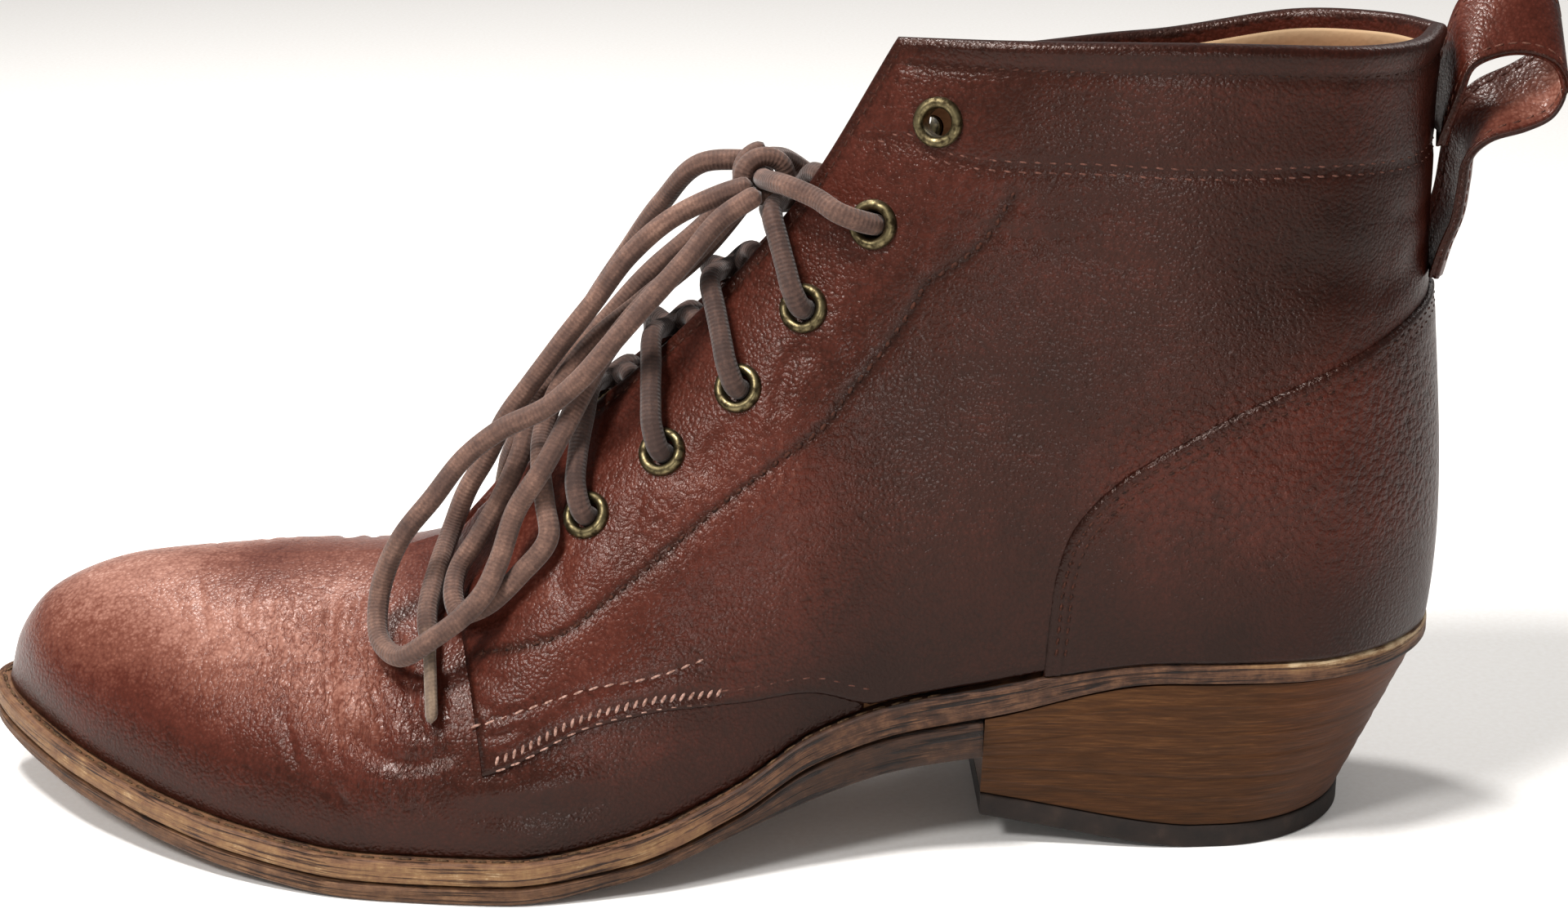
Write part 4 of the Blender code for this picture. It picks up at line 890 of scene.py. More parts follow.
def make_lining(material):
    """Lining: a thin closed layer on the inside of the wall, up to just under the collar's roll."""
    u = np.concatenate([np.linspace(0.0, 0.9, 6), even_stations(1.0, BACK_SEAM, 0.0026)])
    skin = Skin()
    opened = int(np.searchsorted(u, THROAT))
    for side in (-1, 1):
        lengths = np.maximum(section_length(u, side), 0.004)
        rolled = 0.0009 + 0.0026 * np.clip((u - 10.0) / 0.6, 0.0, 1.0)
        high = np.where(u > THROAT, 1.0 - rolled / lengths, 1.0)
        share = np.linspace(0.0, 1.0, 46)
        v = high[:, None] * np.concatenate([share[:-1], [0.985, 0.995, 1.0]])[None, :]
        thin = rounded((high[:, None] - v) * lengths[:, None] + 0.0002, 0.0009)
        thin = np.where(u[:, None] <= THROAT, 1.0, thin)
        roll = collar_roll(u)
        depth = 0.0005 * thin
        nearer = -0.0017 - 0.0004 * roll
        outside_points = upper_point(u[:, None], v, side, nearer + depth)
        inside_points = upper_point(u[:, None], v, side, nearer - depth)
        to_top = (1.0 - v) * lengths[:, None]
        wear = np.exp(-(to_top / 0.0035) ** 2)
        marks = np.zeros(wear.shape + (4,))
        marks[..., 0] = wear
        outside = skin.add(outside_points, marks)
        inside = skin.add(inside_points, marks)
        skin.shell(outside, inside, np.s_[:, 0], np.s_[opened:, -1])
    lining = skin.build("lining", material, LEATHER_MARKS)
    return lining


def eyelet_places():
    """Name, centre and axis of every eyelet."""
    for side, word in ((-1, "outer"), (1, "inner")):
        for number, (u, v) in enumerate(EYELETS, 1):
            centre = section_point([u], [v], side)[0]
            yield "eyelet_%s_%d" % (word, number), side, centre, surface_normal([u], [v], side)[0]


def punch_holes(targets):
    """Cut the twelve eyelet holes through the given pieces with one joined cutter."""
    bm = bmesh.new()
    for name, side, centre, axis in eyelet_places():
        turn = Vector((0, 0, 1)).rotation_difference(Vector(axis)).to_matrix().to_4x4()
        place = Matrix.Translation(Vector((centre[0] - HEEL_REST_AT, centre[1], centre[2])))
        bmesh.ops.create_cone(bm, cap_ends=True, segments=28, radius1=PUNCH_RADIUS, radius2=PUNCH_RADIUS,
                              depth=0.009, matrix=place @ turn)
    mesh = bpy.data.meshes.new("punch")
    bm.to_mesh(mesh)
    bm.free()
    punch = bpy.data.objects.new("punch", mesh)
    bpy.context.scene.collection.objects.link(punch)
    for target in targets:
        modifier = target.modifiers.new("holes", "BOOLEAN")
        modifier.operation = "DIFFERENCE"
        modifier.solver = "EXACT"
        modifier.object = punch
        graph = bpy.context.evaluated_depsgraph_get()
        cut = bpy.data.meshes.new_from_object(target.evaluated_get(graph))
        target.modifiers.clear()
        old = target.data
        target.data = cut
        cut.name = old.name
        bpy.data.meshes.remove(old)
    bpy.data.objects.remove(punch)


# Stitches

# A short stitch: its rings as shares of its length and of its radius
SPINDLE_PLACES = np.array([-0.5, -0.4, 0.0, 0.4, 0.5])
SPINDLE_GIRTHS = np.array([0.0, 0.7, 1.0, 0.7, 0.0])


def add_stitches(skin, u, v, side, lift, length, thickness, lean=0.0):
    """One stitch at every place: a spindle along the line, turned by lean, half sunk in the leather."""
    points = section_point(u, v, side)
    normal = surface_normal(u, v, side)
    height = lift + relief(points[:, None, :])[:, 0]
    points = points + height[:, None] * normal
    ahead = np.gradient(points, axis=0)
    ahead /= np.linalg.norm(ahead, axis=1, keepdims=True)
    across = np.cross(normal, ahead)
    turned = ahead * np.cos(lean) + across * np.sin(lean)
    across = np.cross(normal, turned)
    x = np.array([-0.5, -0.42, -0.2, 0.2, 0.42, 0.5]) * length
    girth = np.array([0.0, 0.62, 1.0, 1.0, 0.62, 0.0]) * thickness / 2
    sink = np.array([-0.8, -0.25, 0.0, 0.0, -0.25, -0.8]) * thickness / 2
    skin.spindles(points, turned, across, normal, x, girth, sink)


def clear_of_eyelets(u, v, side, reach=0.0052):
    """Only the places that lie outside every eyelet."""
    points = section_point(u, v, side)
    keep = np.ones(len(u), bool)
    for name, other, centre, axis in eyelet_places():
        if other == side:
            keep &= np.linalg.norm(points - centre, axis=1) > reach
    return u[keep], v[keep]


def make_stitches(dark, light, plain):
    """Rows of thread along every seam of the quarters and the counter."""
    sizes = bpy.context.scene.boot_sizes
    lines = quarter_lines()
    length = sizes.stitch_length
    rows = {"dark": Skin(), "light": Skin(), "plain": Skin()}
    for side in (-1, 1):
        on_quarter = QUARTER_STEP - 0.00012
        for name, kind, pitch, size, thick in (
                ("facing", "dark", 0.0026, 1.7, 0.00080), ("front", "dark", 0.0022, 1.6, 0.00046),
                ("lower", "light", 0.0016, 2.0, 0.00062), ("second", "light", 0.0026, 2.1, 0.00050),
                ("thin", "plain", 0.0026, 2.0, 0.00042), ("rim", "dark", 0.0024, 1.6, 0.00042)):
            u, v = even_line(lines[name], side, pitch)
            u, v = clear_of_eyelets(np.clip(u, 0.0, BACK_SEAM - 0.01), v, side)
            lean = -side * (0.95 if name == "lower" else 0.12)
            sunk = {"facing": 0.00016, "lower": 0.00012, "second": 0.00016, "front": 0.00014,
                    "thin": 0.0, "rim": 0.00034}[name]
            add_stitches(rows[kind], u, v, side, on_quarter - sunk, size * 0.001, thick, lean)
        u, v = even_line(lines["lower"], side, 0.0026)
        u, v = shift_line(u, v, side, side * 0.0017)
        add_stitches(rows["light"], u, v, side, on_quarter - 0.0001, 0.0019, 0.0004, side * 0.1)
        u, v = even_line(lines["facing"], side, 0.0021)
        u, v = shift_line(u, v, side, side * 0.0016)
        u, v = clear_of_eyelets(u, v, side)
        add_stitches(rows["dark"], u, v, side, on_quarter - 0.00022, 0.0011, 0.00055)
        for offset in (-0.0009, 0.0009):
            u, v = even_line(lines["collar"], side, 0.0025)
            u, v = shift_line(u, v, side, offset)
            u, v = clear_of_eyelets(np.clip(u, 0.0, BACK_SEAM - 0.01), v, side)
            add_stitches(rows["plain"], u, v, side, on_quarter - 0.00018, length, 0.00046, side * 0.12)
        edge_u = np.concatenate([np.linspace(10.86, 11.1, 12)[:-1], np.linspace(11.1, BACK_SEAM, 40)])
        edge = np.stack([edge_u, read_edge(COUNTER_EDGE, edge_u)], 1)
        for offset in COUNTER_ROWS:
            u, v = even_line(edge, side, 0.0022)
            u, v = shift_line(u, v, side, side * offset)
            keep = (v > 0.02) & (u < BACK_SEAM - 0.02)
            lift = QUARTER_STEP + COUNTER_STEP - COUNTER_GROOVE
            add_stitches(rows["dark"], u[keep], v[keep], side, lift, 0.00155, sizes.thread, side * 0.15)
    for kind, material in (("dark", dark), ("light", light), ("plain", plain)):
        piece = rows[kind].build("stitches_%s" % kind, material)


# Tongue, eyelets, strap and lace


def make_tongue(material):
    """Tongue: both sides of the section joined by a soft bridge over the throat, with a round edge."""
    u = even_stations(6.25, 9.9, 0.0016, 1.0)
    share = (u - u[0]) / (u[-1] - u[0])
    low = 0.66 + 0.12 * share
    lean = np.linspace(0.0, 1.0, 26)
    v = low[:, None] + (0.985 - low)[:, None] * lean[None, :]
    faces = []
    for depth in (WALL + TONGUE_GAP, WALL + TONGUE_GAP + TONGUE_THICKNESS):
        outer = upper_point(u[:, None], v, -1, -depth)
        inner = upper_point(u[:, None], v[:, ::-1], 1, -depth)
        left = outer[:, -1:]
        right = inner[:, :1]
        w = np.linspace(0.0, 1.0, 15)[None, 1:-1, None]
        middle = left + (right - left) * w
        along = np.gradient(middle, axis=0)
        out = np.cross(right - left, along)
        out /= np.linalg.norm(out, axis=-1, keepdims=True) + 1e-9
        sag = 0.0007 * np.sin(3.0 * np.pi * w) * np.sin(9.0 * share)[:, None, None]
        faces.append(np.concatenate([outer, middle + out * sag, inner], 1))
    centre = (faces[0] + faces[1]) / 2
    across = np.linspace(0.0, 1.0, centre.shape[1])[None, :]
    down = np.minimum(share, 1.0 - share)[:, None] * 0.08
    edge = np.minimum(np.minimum(across, 1.0 - across) * 0.07, down)
    thin = rounded(edge + 0.0001, 0.0010)[..., None]
    skin = Skin()
    marks = leather_marks(faces[0])
    outside = skin.add(centre + (faces[0] - centre) * thin, marks)
    inside = skin.add(centre + (faces[1] - centre) * thin)
    skin.shell(outside, inside, np.s_[:, 0], np.s_[:, -1], np.s_[0], np.s_[-1])
    tongue = skin.build("tongue_leather", material, LEATHER_MARKS)
    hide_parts("tongue")
    return tongue


def make_eyelets(material):
    """Eyelets: a rolled flange and a barrel, one round profile turned about each axis."""
    face = QUARTER_STEP - 0.0001
    bend = np.linspace(0.0, np.pi, 13)
    middle = (EYELET_FLANGE + EYELET_HOLE) / 2
    half = (EYELET_FLANGE - EYELET_HOLE) / 2
    flange_r = middle + half * np.cos(bend)
    flange_h = face + (EYELET_RAISE + 0.0004) * np.sin(bend) ** 0.75
    profile_r = np.concatenate([[EYELET_BARREL, EYELET_BARREL, EYELET_FLANGE - 0.0001], flange_r,
                                [EYELET_HOLE, EYELET_HOLE, EYELET_HOLE + 0.0002]])
    profile_h = np.concatenate([[-WALL - 0.0002, face - 0.0003, face - 0.0003], flange_h,
                                [face - 0.0008, -WALL, -WALL - 0.0003]])
    angle = np.linspace(0.0, 2 * np.pi, 37)[:-1]
    for name, side, centre, axis in eyelet_places():
        turn = np.array(Vector((0, 0, 1)).rotation_difference(Vector(axis)).to_matrix())
        local = np.stack([profile_r[:, None] * np.cos(angle), profile_r[:, None] * np.sin(angle),
                          profile_h[:, None] + 0.0 * angle], -1)
        points = centre + local @ turn.T
        lift = float(relief(centre[None, None, :])[0, 0])
        points = points + axis * lift
        skin = Skin()
        ids = skin.add(points)
        ids = np.concatenate([ids, ids[:, :1]], 1)
        ids = np.concatenate([ids, ids[:1]], 0)
        skin.quads(ids)
        ring = skin.build(name + "_ring", material)
        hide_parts(name)


def even_path(route, spacing):
    """Points at even spacing on a smooth curve through the bends of a route."""
    points = np.array(route, float)
    marks = walked_lengths(points)
    fine = np.concatenate([np.linspace(marks[k], marks[k + 1], 25)[:-1] for k in range(len(marks) - 1)]
                          + [marks[-1:]])
    curve = np.stack([smooth_path_values(marks, points[:, k], fine) for k in range(3)], 1)
    walked = walked_lengths(curve)
    count = max(4, int(round(walked[-1] / spacing)) + 1)
    even = np.linspace(0.0, walked[-1], count)
    return np.stack([np.interp(even, walked, curve[:, k]) for k in range(3)], 1)


def path_frames(path):
    """Direction, side and upright of a path; the upright is carried along without twist."""
    tangent = np.gradient(path, axis=0)
    tangent /= np.linalg.norm(tangent, axis=1, keepdims=True)
    upright = np.empty_like(tangent)
    current = np.cross(tangent[0], [0.0, 1.0, 0.0])
    for k, direction in enumerate(tangent):
        current = current - direction * current.dot(direction)
        current /= np.linalg.norm(current)
        upright[k] = current
    return tangent, np.cross(tangent, upright), upright


def add_cord(skin, path, radius, flat=0.0, shade=0.0):
    """Tube along a path: circles square to it with round ends; flat squeezes them, pattern runs along."""
    length = walked_lengths(path)
    from_end = np.minimum(length, length[-1] - length)
    size = radius * np.sqrt(1.0 - (1.0 - np.clip(from_end / radius, 0.0, 1.0)) ** 2)
    size = size * (1.0 + 0.018 * np.sin(length / 0.0031) + 0.015 * np.sin(length / 0.0074 + 1.0))
    tangent, across, upright = path_frames(path)
    angle = np.linspace(0.0, 2 * np.pi, LACE_SIDES + 1)
    wide = size * (1.0 + 0.12 * flat)
    thin = size * (1.0 - 0.45 * flat)
    ring = (path[:, None, :] + across[:, None, :] * (wide[:, None] * np.cos(angle))[..., None]
            + upright[:, None, :] * (thin[:, None] * np.sin(angle))[..., None])
    marks = np.zeros((len(path), LACE_SIDES, 4))
    marks[..., 0] = np.reshape(flat, (-1, 1))
    marks[..., 1] = shade
    ids = skin.add(ring[:, :-1], marks)
    ids = np.concatenate([ids, ids[:, :1]], 1)
    pattern = np.stack(np.broadcast_arrays(length[:, None], angle[None, :] / (2 * np.pi)), -1)
    skin.quads(ids, pattern)


def throat_centre(u, height):
    """Point between the two facing edges, raised by height along the throat's outward side."""
    outer = section_point([u], [1.0], -1)[0]
    inner = section_point([u], [1.0], 1)[0]
    ahead = (section_point([u + 0.05], [1.0], -1)
             + section_point([u + 0.05], [1.0], 1))[0] - outer - inner
    out = np.array([-ahead[2], 0.0, ahead[0]])
    return (outer + inner) / 2 + height * out / np.linalg.norm(out)


def lifted(u, v, side, lift):
    """One point of the leather at a height."""
    return upper_point([u], [v], side, lift)[0]


def crossing_route(row, side):
    """Lace from inside its eyelet over the facing's edge, across the throat and under the other edge."""
    number, over, cross, end = row
    u, v = EYELETS[number - 1]
    radius = LACE_DIAMETER / 2
    clear = QUARTER_STEP + FIT_GAP + EYELET_RAISE + FIT_GAP + radius + 0.0004
    low = QUARTER_STEP + 4 * FIT_GAP + radius
    edge = lifted(end, 1.0, -side, 0.0)
    centre = throat_centre(end, 0.0)
    inwards = (centre - edge) / np.linalg.norm(centre - edge)
    beside = edge + inwards * (radius + 0.0018) + throat_centre(end, 0.0006) - centre
    under = edge - inwards * 0.0005 + throat_centre(end, -0.0016) - centre
    return [
        lifted(u, v, side, -0.0022), lifted(u, v, side, 0.0004), lifted(u, v, side, 0.0027),
        lifted(u + (over - u) * 0.10, v + (1 - v) * 0.16, side, clear),
        lifted(u + (over - u) * 0.35, v + (1 - v) * 0.42, side, clear + 0.0002),
        lifted(u + (over - u) * 0.75, v + (1 - v) * 0.75, side, low + 0.0008),
        lifted(over, 0.985, side, low + 0.0006),
        throat_centre(cross, 0.0014 if side < 0 else 0.0004), beside, under,
    ]


def make_laces(material):
    """Laces: crossings over the throat, then knot, loops and ends of the bow, each a round tube."""
    for number, row in enumerate(CROSSINGS, 1):
        skin = Skin()
        for side in (-1, 1):
            # The crossings carry the shade mark and are painted darker: painted shade
            add_cord(skin, even_path(crossing_route(row, side), 0.0008), LACE_DIAMETER / 2, shade=-0.20)
        name = "lace_crossing_%d" % number
        piece = skin.build(name + "_cord", material, LACE_MARKS)
        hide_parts(name)
    for name, bends in ROUTES.items():
        route = list(np.array(bends) / 10000.0)
        if name == "lace_knot":
            u, v = EYELETS[1]
            route = [lifted(u, v, -1, -0.0020), lifted(u, v, -1, 0.0006)] + route
            route = route + [lifted(u, v, 1, 0.0006), lifted(u, v, 1, -0.0020)]
        path = even_path(route, 0.0009)
        length = walked_lengths(path)
        flat = 0.0
        if FAR_ENDS[name] == "bare":
            flat = np.clip((length - length[-1] + TIP_LENGTH) / 0.006, 0.0, 1.0)
        skin = Skin()
        add_cord(skin, path, LACE_DIAMETER / 2, flat)
        piece = skin.build(name + "_cord", material, LACE_MARKS)
        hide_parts(name)
    turn = np.linspace(-0.35 * np.pi, 2.55 * np.pi, 60)
    travel = np.linspace(-0.0034, 0.0034, 60)
    route = KNOT_CORE + np.stack([-KNOT_RADIUS * np.cos(turn), travel, KNOT_RADIUS * np.sin(turn)], 1)
    skin = Skin()
    add_cord(skin, even_path(route, 0.0007), LACE_DIAMETER / 2 * 0.94)
    wrap = skin.build("lace_knot_turns", material, LACE_MARKS)


def make_strap(material, thread):
    """Pull strap: two sheets of leather as one rounded strip with a seam line, carried along its loop."""
    rows = even_path([(row[0], row[1], row[2] * 1e-4) for row in STRAP], 0.0009)
    ahead = np.gradient(rows[:, :2], axis=0)
    ahead /= np.linalg.norm(ahead, axis=1, keepdims=True)
    share = np.linspace(0.0, 1.0, len(rows))
    more = smooth_read((0.0, 0.35, 0.55, 0.72, 0.90, 1.0), (0.0, 6.0, 20.0, 32.0, 22.0, 8.0), share)
    twist = np.radians(rows[:, 2] * 1e4 + more)
    cup = smooth_read((0.0, 0.30, 0.45, 0.85, 1.0), (1.0, 0.9, 0.0, 0.0, 0.9), share)
    zero = np.zeros(len(rows))
    centre = np.stack([rows[:, 0], zero, rows[:, 1]], 1)
    normal = np.stack([-ahead[:, 1], zero, ahead[:, 0]], 1)
    leaning = np.stack([zero, np.cos(twist), np.sin(twist)], 1)
    sideways = np.array([0.0, 1.0, 0.0])
    thick = normal * np.cos(twist)[:, None] - sideways * (np.sin(twist) * np.sign(normal[:, 2]))[:, None]
    corner = np.linspace(0.0, np.pi / 2, 5)
    half = STRAP_WIDTH / 2
    deep = STRAP_THICKNESS / 2
    soft = 0.0006
    across = np.concatenate([np.linspace(-half + soft, half - soft, 13)[:-1],
                             half - soft + soft * np.sin(corner), [half - 0.00035]])
    height = np.concatenate([np.full(12, deep), deep - soft + soft * np.cos(corner), [0.0]])
    across = np.concatenate([across, across[-2::-1][:len(across) - 1]])
    height = np.concatenate([height, -height[-2::-1][:len(height) - 1]])
    left = np.concatenate([[-half + 0.00035], (-half + soft - soft * np.sin(corner))[::-1]])
    left_height = np.concatenate([[0.0], (deep - soft + soft * np.cos(corner))[::-1]])
    across = np.concatenate([across, (-half + soft - soft * np.sin(corner)), [-half + 0.00035], left[1:-1]])
    height = np.concatenate([height, -(deep - soft + soft * np.cos(corner)), [0.0], left_height[1:-1]])
    line = np.exp(-((np.abs(across) - (half - 0.0018)) / 0.0006) ** 2) * 0.00018
    height = height - np.sign(height) * line
    points = (centre[:, None, :] + across[None, :, None] * leaning[:, None, :]
              + height[None, :, None] * thick[:, None, :])
    points[..., 0] -= cup[:, None] * across[None, :] ** 2 / CUP_ROUND
    raw = np.clip((np.abs(across) - half + 0.0007) / 0.0005, 0.0, 1.0)
    along = walked_lengths(centre)
    marks = np.zeros((len(rows), len(across), 4))
    # Painted highlight: one face of the strap's upper part is painted lighter
    lit = np.clip((rows[:, 1] - 0.128) / 0.02, 0.0, 1.0)
    marks[..., 0] = 0.18 + 0.62 * lit[:, None] * (height > 0)[None, :]
    marks[..., 3] = raw[None, :]
    skin = Skin()
    ids = skin.add(points, marks)
    ids = np.concatenate([ids, ids[:, :1]], 1)
    skin.quads(ids)
    ends = []
    for k in (0, -1):
        middle = skin.add(points[k].mean(0)[None, :])
        ends.append(np.stack([ids[k], np.repeat(middle, ids.shape[1])]))
    for end in ends:
        skin.quads(end)
    strap = skin.build("pull_strap_loop", material, LEATHER_MARKS)
    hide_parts("pull_strap")
    skin = Skin()
    at = np.arange(0.004, along[-1] - 0.003, 0.0024)
    for where in (-half + 0.0018, half - 0.0018):
        for face in (-1, 1):
            pick = [np.stack([np.interp(at, along, field[:, k]) for k in range(3)], 1)
                    for field in (centre, leaning, thick, np.gradient(centre, axis=0))]
            run = pick[3] / np.linalg.norm(pick[3], axis=1, keepdims=True)
            base = pick[0] + where * pick[1] + face * (deep - 0.00016) * pick[2]
            base[:, 0] -= np.interp(at, along, cup) * where ** 2 / CUP_ROUND
            skin.spindles(base, run, pick[1], pick[2], 0.0018 * SPINDLE_PLACES, 0.00023 * SPINDLE_GIRTHS)
    rows_piece = skin.build("stitches_strap", thread)


# Sole and heel

# Insets of the rows on top of a layer beside its edge, and where the welt seam's groove is
RIM_INSETS = (0.0010, 0.0016, 0.0026, 0.0045)
WELT_GROOVE_AT = 0.0012


def edge_profile(count, soft):
    """Rounded side of a sole layer: insets and shares of its height from the top to the bottom."""
    share = np.linspace(0.0, 1.0, count)
    bulge = np.abs(2.0 * share - 1.0) ** 5
    return soft * (1.0 - (1.0 - bulge) ** 0.5), share


def wobble(length, share):
    """Small waves of a worn, hand finished edge, in metres."""
    wave = (np.sin(length / 0.0063 + 2.0 * share) + 0.7 * np.sin(length / 0.0171 + 5.0 * share)
            + 0.5 * np.sin(length / 0.0029 + 9.0 * share))
    return 0.00007 * wave


def make_layer(name, node, material, turns, top, bottom, soft, tone, closed_heel, groove=None):
    """Layer of the sole: the outline with a rounded, lightly waved side, closed above and below."""
    inset, share = edge_profile(17, soft)
    skin = Skin()
    rows = {}
    for side in (-1, 1):
        base_s, base_y = edge_point(turns, side, 0.0)
        length = walked_lengths(np.stack([base_s, base_y], 1))
        fade = np.sin(np.pi * turns) ** 0.3
        grid = []
        for k, (pull, part) in enumerate(zip(inset, share)):
            s, y = edge_point(turns, side, pull + 0.0001 + wobble(length, part * 3.0) * fade)
            z = top(s) * (1.0 - part) + bottom(s) * part
            grid.append(np.stack([s, y, z], -1))
        inner = []
        for extra in RIM_INSETS:
            s, y = edge_point(turns, side, soft + extra)
            z = top(s)
            if groove is not None:
                z = z - groove * np.exp(-((extra - WELT_GROOVE_AT) / 0.0005) ** 2)
            inner.append(np.stack([s, y, z], -1))
        grid = inner[::-1] + grid
        for extra in (0.0012, 0.0045):
            s, y = edge_point(turns, side, soft + extra)
            grid.append(np.stack([s, y, bottom(s)], -1))
        points = np.stack(grid)
        marks = np.zeros(points.shape[:-1] + (4,))
        marks[..., 0] = tone(points[..., 0], points[..., 1], points[..., 2])
        ids = skin.add(points, marks)
        flat = np.stack(np.broadcast_arrays(length[None, :] + (0.5 if side > 0 else 0.0),
                                            np.linspace(0.0, 0.02, len(points))[:, None]), -1)
        skin.quads(ids, flat)
        rows[side] = (ids, points)
    for k, height in ((0, top), (-1, bottom)):
        left = rows[-1][1][k]
        right = rows[1][1][k]
        w = np.linspace(0.0, 1.0, 12)[:, None, None]
        sheet = left[None] * (1.0 - w) + right[None] * w
        sheet[..., 2] = height(sheet[..., 0])
        marks = np.zeros(sheet.shape[:-1] + (4,))
        ids = skin.add(sheet, marks)
        skin.quads(ids, sheet[..., :2])
    if not closed_heel:
        last = np.stack([rows[-1][0][:, -1], rows[1][0][:, -1]])
        skin.quads(last)
    piece = skin.build(name, material, LEATHER_MARKS)
    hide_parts(node)
    return piece


def make_soles(midsole_material, outsole_material, thread):
    """Midsole with its welt seam, and outsole with its tread."""
    breast = float(turn_at((BREAST_AT - FIT_GAP) / SOLE_LENGTH))
    full = np.linspace(0.0, 1.0, 420)
    front = np.linspace(0.0, breast, 300)

    def midsole_tone(s, y, z):
        """Painted shade from the waist back to the heel, rubbed pale with a painted highlight along the top
        edge behind, soot and painted shade just under the upper.
        """
        depth = seat_height(s) - z
        waist = -0.75 * np.clip((s - 0.125) / 0.03, 0.0, 1.0)
        # Painted highlight with some wear: the top edge behind is painted pale
        rubbed = 1.45 * np.clip((s - 0.226) / 0.02, 0.0, 1.0) * np.exp(-(depth / 0.0019) ** 2)
        soot_and_shade = -0.40 * np.exp(-((depth - 0.0002) / 0.0006) ** 2) * np.clip((0.20 - s) / 0.02, 0.0, 1.0)
        return waist + rubbed + soot_and_shade

    def outsole_tone(s, y, z):
        """Painted shade darkens the waist; lighter over the ball."""
        return -0.35 - 0.65 * np.clip((s - 0.115) / 0.04, 0.0, 1.0) + 0.15 * np.exp(-((s - 0.07) / 0.03) ** 2)

    make_layer("midsole_edge", "midsole", midsole_material, full,
               seat_height, midsole_underside, 0.0009, midsole_tone, True, groove=0.00035)
    make_layer("outsole_edge", "outsole", outsole_material, front,
               lambda s: midsole_underside(s) - FIT_GAP, tread_height, 0.0013, outsole_tone, False)
    skin = Skin()
    for side in (-1, 1):
        turns = np.linspace(0.01, float(turn_at(0.66)), 1200)
        s, y = edge_point(turns, side, 0.0020)
        length = walked_lengths(np.stack([s, y], 1))
        at = np.arange(0.001, length[-1], 0.0034)
        path = np.stack([np.interp(at, length, s), np.interp(at, length, y)], 1)
        z = seat_height(path[:, 0]) - 0.00022
        points = np.stack([path[:, 0], path[:, 1], z], 1)
        ahead = np.gradient(points, axis=0)
        ahead /= np.linalg.norm(ahead, axis=1, keepdims=True)
        across = np.cross([0.0, 0.0, 1.0], ahead)
        up = np.cross(ahead, across)
        skin.spindles(points, ahead, across, up, 0.0026 * SPINDLE_PLACES, 0.00036 * SPINDLE_GIRTHS)
    seam = skin.build("stitches_welt", thread)


def heel_ring(inset, drop, count):
    """Closed outline of the heel at a share of its drop: the sole's edge pulled in and forward."""
    breast_turn = float(turn_at((BREAST_AT + 0.001) / SOLE_LENGTH))
    turns = np.linspace(breast_turn, 1.0, count)
    outer_s, outer_y = edge_point(turns, -1, inset)
    inner_s, inner_y = edge_point(turns[:-1][::-1], 1, inset)
    s = np.concatenate([outer_s, inner_s])
    y = np.concatenate([outer_y, inner_y])
    front = float(min(outer_s[0], inner_s[-1]))
    s[0] = front
    s[-1] = front
    length = SOLE_LENGTH - front
    s = BREAST_AT + (s - front) * (1.0 - drop * HEEL_PITCH / length)
    return s, y * (1.0 - drop * HEEL_SIDE_TAPER)


def make_heel_block(name, node, material, levels, count):
    """Solid of the heel from levels of inset, drop and height, top first, closed above and below."""
    skin = Skin()
    points = []
    for inset, drop, height in levels:
        s, y = heel_ring(inset, drop, count)
        points.append(np.stack([s, y, height(s)], -1))
    points = np.stack(points)
    marks = np.zeros(points.shape[:-1] + (4,))
    marks[..., 0] = np.clip((points[..., 0] - 0.235) / 0.035, 0.0, 1.0)
    marks[..., 1] = np.linspace(0.0, 1.0, len(points))[:, None]
    ids = skin.add(points, marks)
    skin.quads(np.concatenate([ids, ids[:, :1]], 1))
    half = ids.shape[1] // 2
    for k in (0, -1):
        ring = ids[k]
        skin.strip(ring[:half + 1], ring[::-1][:half + 1])
    piece = skin.build(name, material, ("tone", "drop", "pebble", "edge"))
    piece.data.set_sharp_from_angle(angle=np.radians(50.0))
    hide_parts(node)
    return piece


def make_heel(stack_material, lift_material):
    """Stacked heel with a fine groove at every layer, and the lift under it."""
    layers = bpy.context.scene.boot_sizes.heel_layers
    share = np.linspace(0.0, 1.0, 16 * layers + 1)
    phase = share * layers
    groove = 0.00011 * np.exp(-((phase - np.round(phase)) / 0.055) ** 2)
    wave = 0.00005 * np.sin(phase * 5.0) + 0.00004 * np.sin(phase * 11.0 + 1.0)

    def stack_height(drop):
        return lambda s: ((1.0 - drop) * (midsole_underside(s) - FIT_GAP)
                          + drop * (rocker_height(s) + TOP_LIFT + FIT_GAP))

    levels = [(HEEL_INSET + g + w, float(d), stack_height(float(d))) for g, w, d in zip(groove, wave, share)]
    make_heel_block("heel_layers", "heel_stack", stack_material, levels, 70)
    step = HEEL_INSET - TOP_LIFT_STEP
    bend = np.linspace(0.0, np.pi / 2, 5)
    levels = [(step + 0.0005 * (1 - np.sin(b)), 1.0,
               lambda s, b=b: rocker_height(s) + TOP_LIFT - 0.0005 * (1 - np.cos(b))) for b in bend]
    levels += [(step + 0.0006 * (1 - np.cos(b)), 1.0,
                lambda s, b=b: rocker_height(s) + 0.0006 * (1 - np.sin(b))) for b in bend]
    make_heel_block("heel_lift", "heel_top_lift", lift_material, levels, 70)


# Materials


def wire(tree, node, inputs):
    """Link each named input of a node to an output, or set its value."""
    for name, value in inputs.items():
        if isinstance(value, bpy.types.NodeSocket):
            tree.links.new(value, node.inputs[name])
        else:
            node.inputs[name].default_value = value


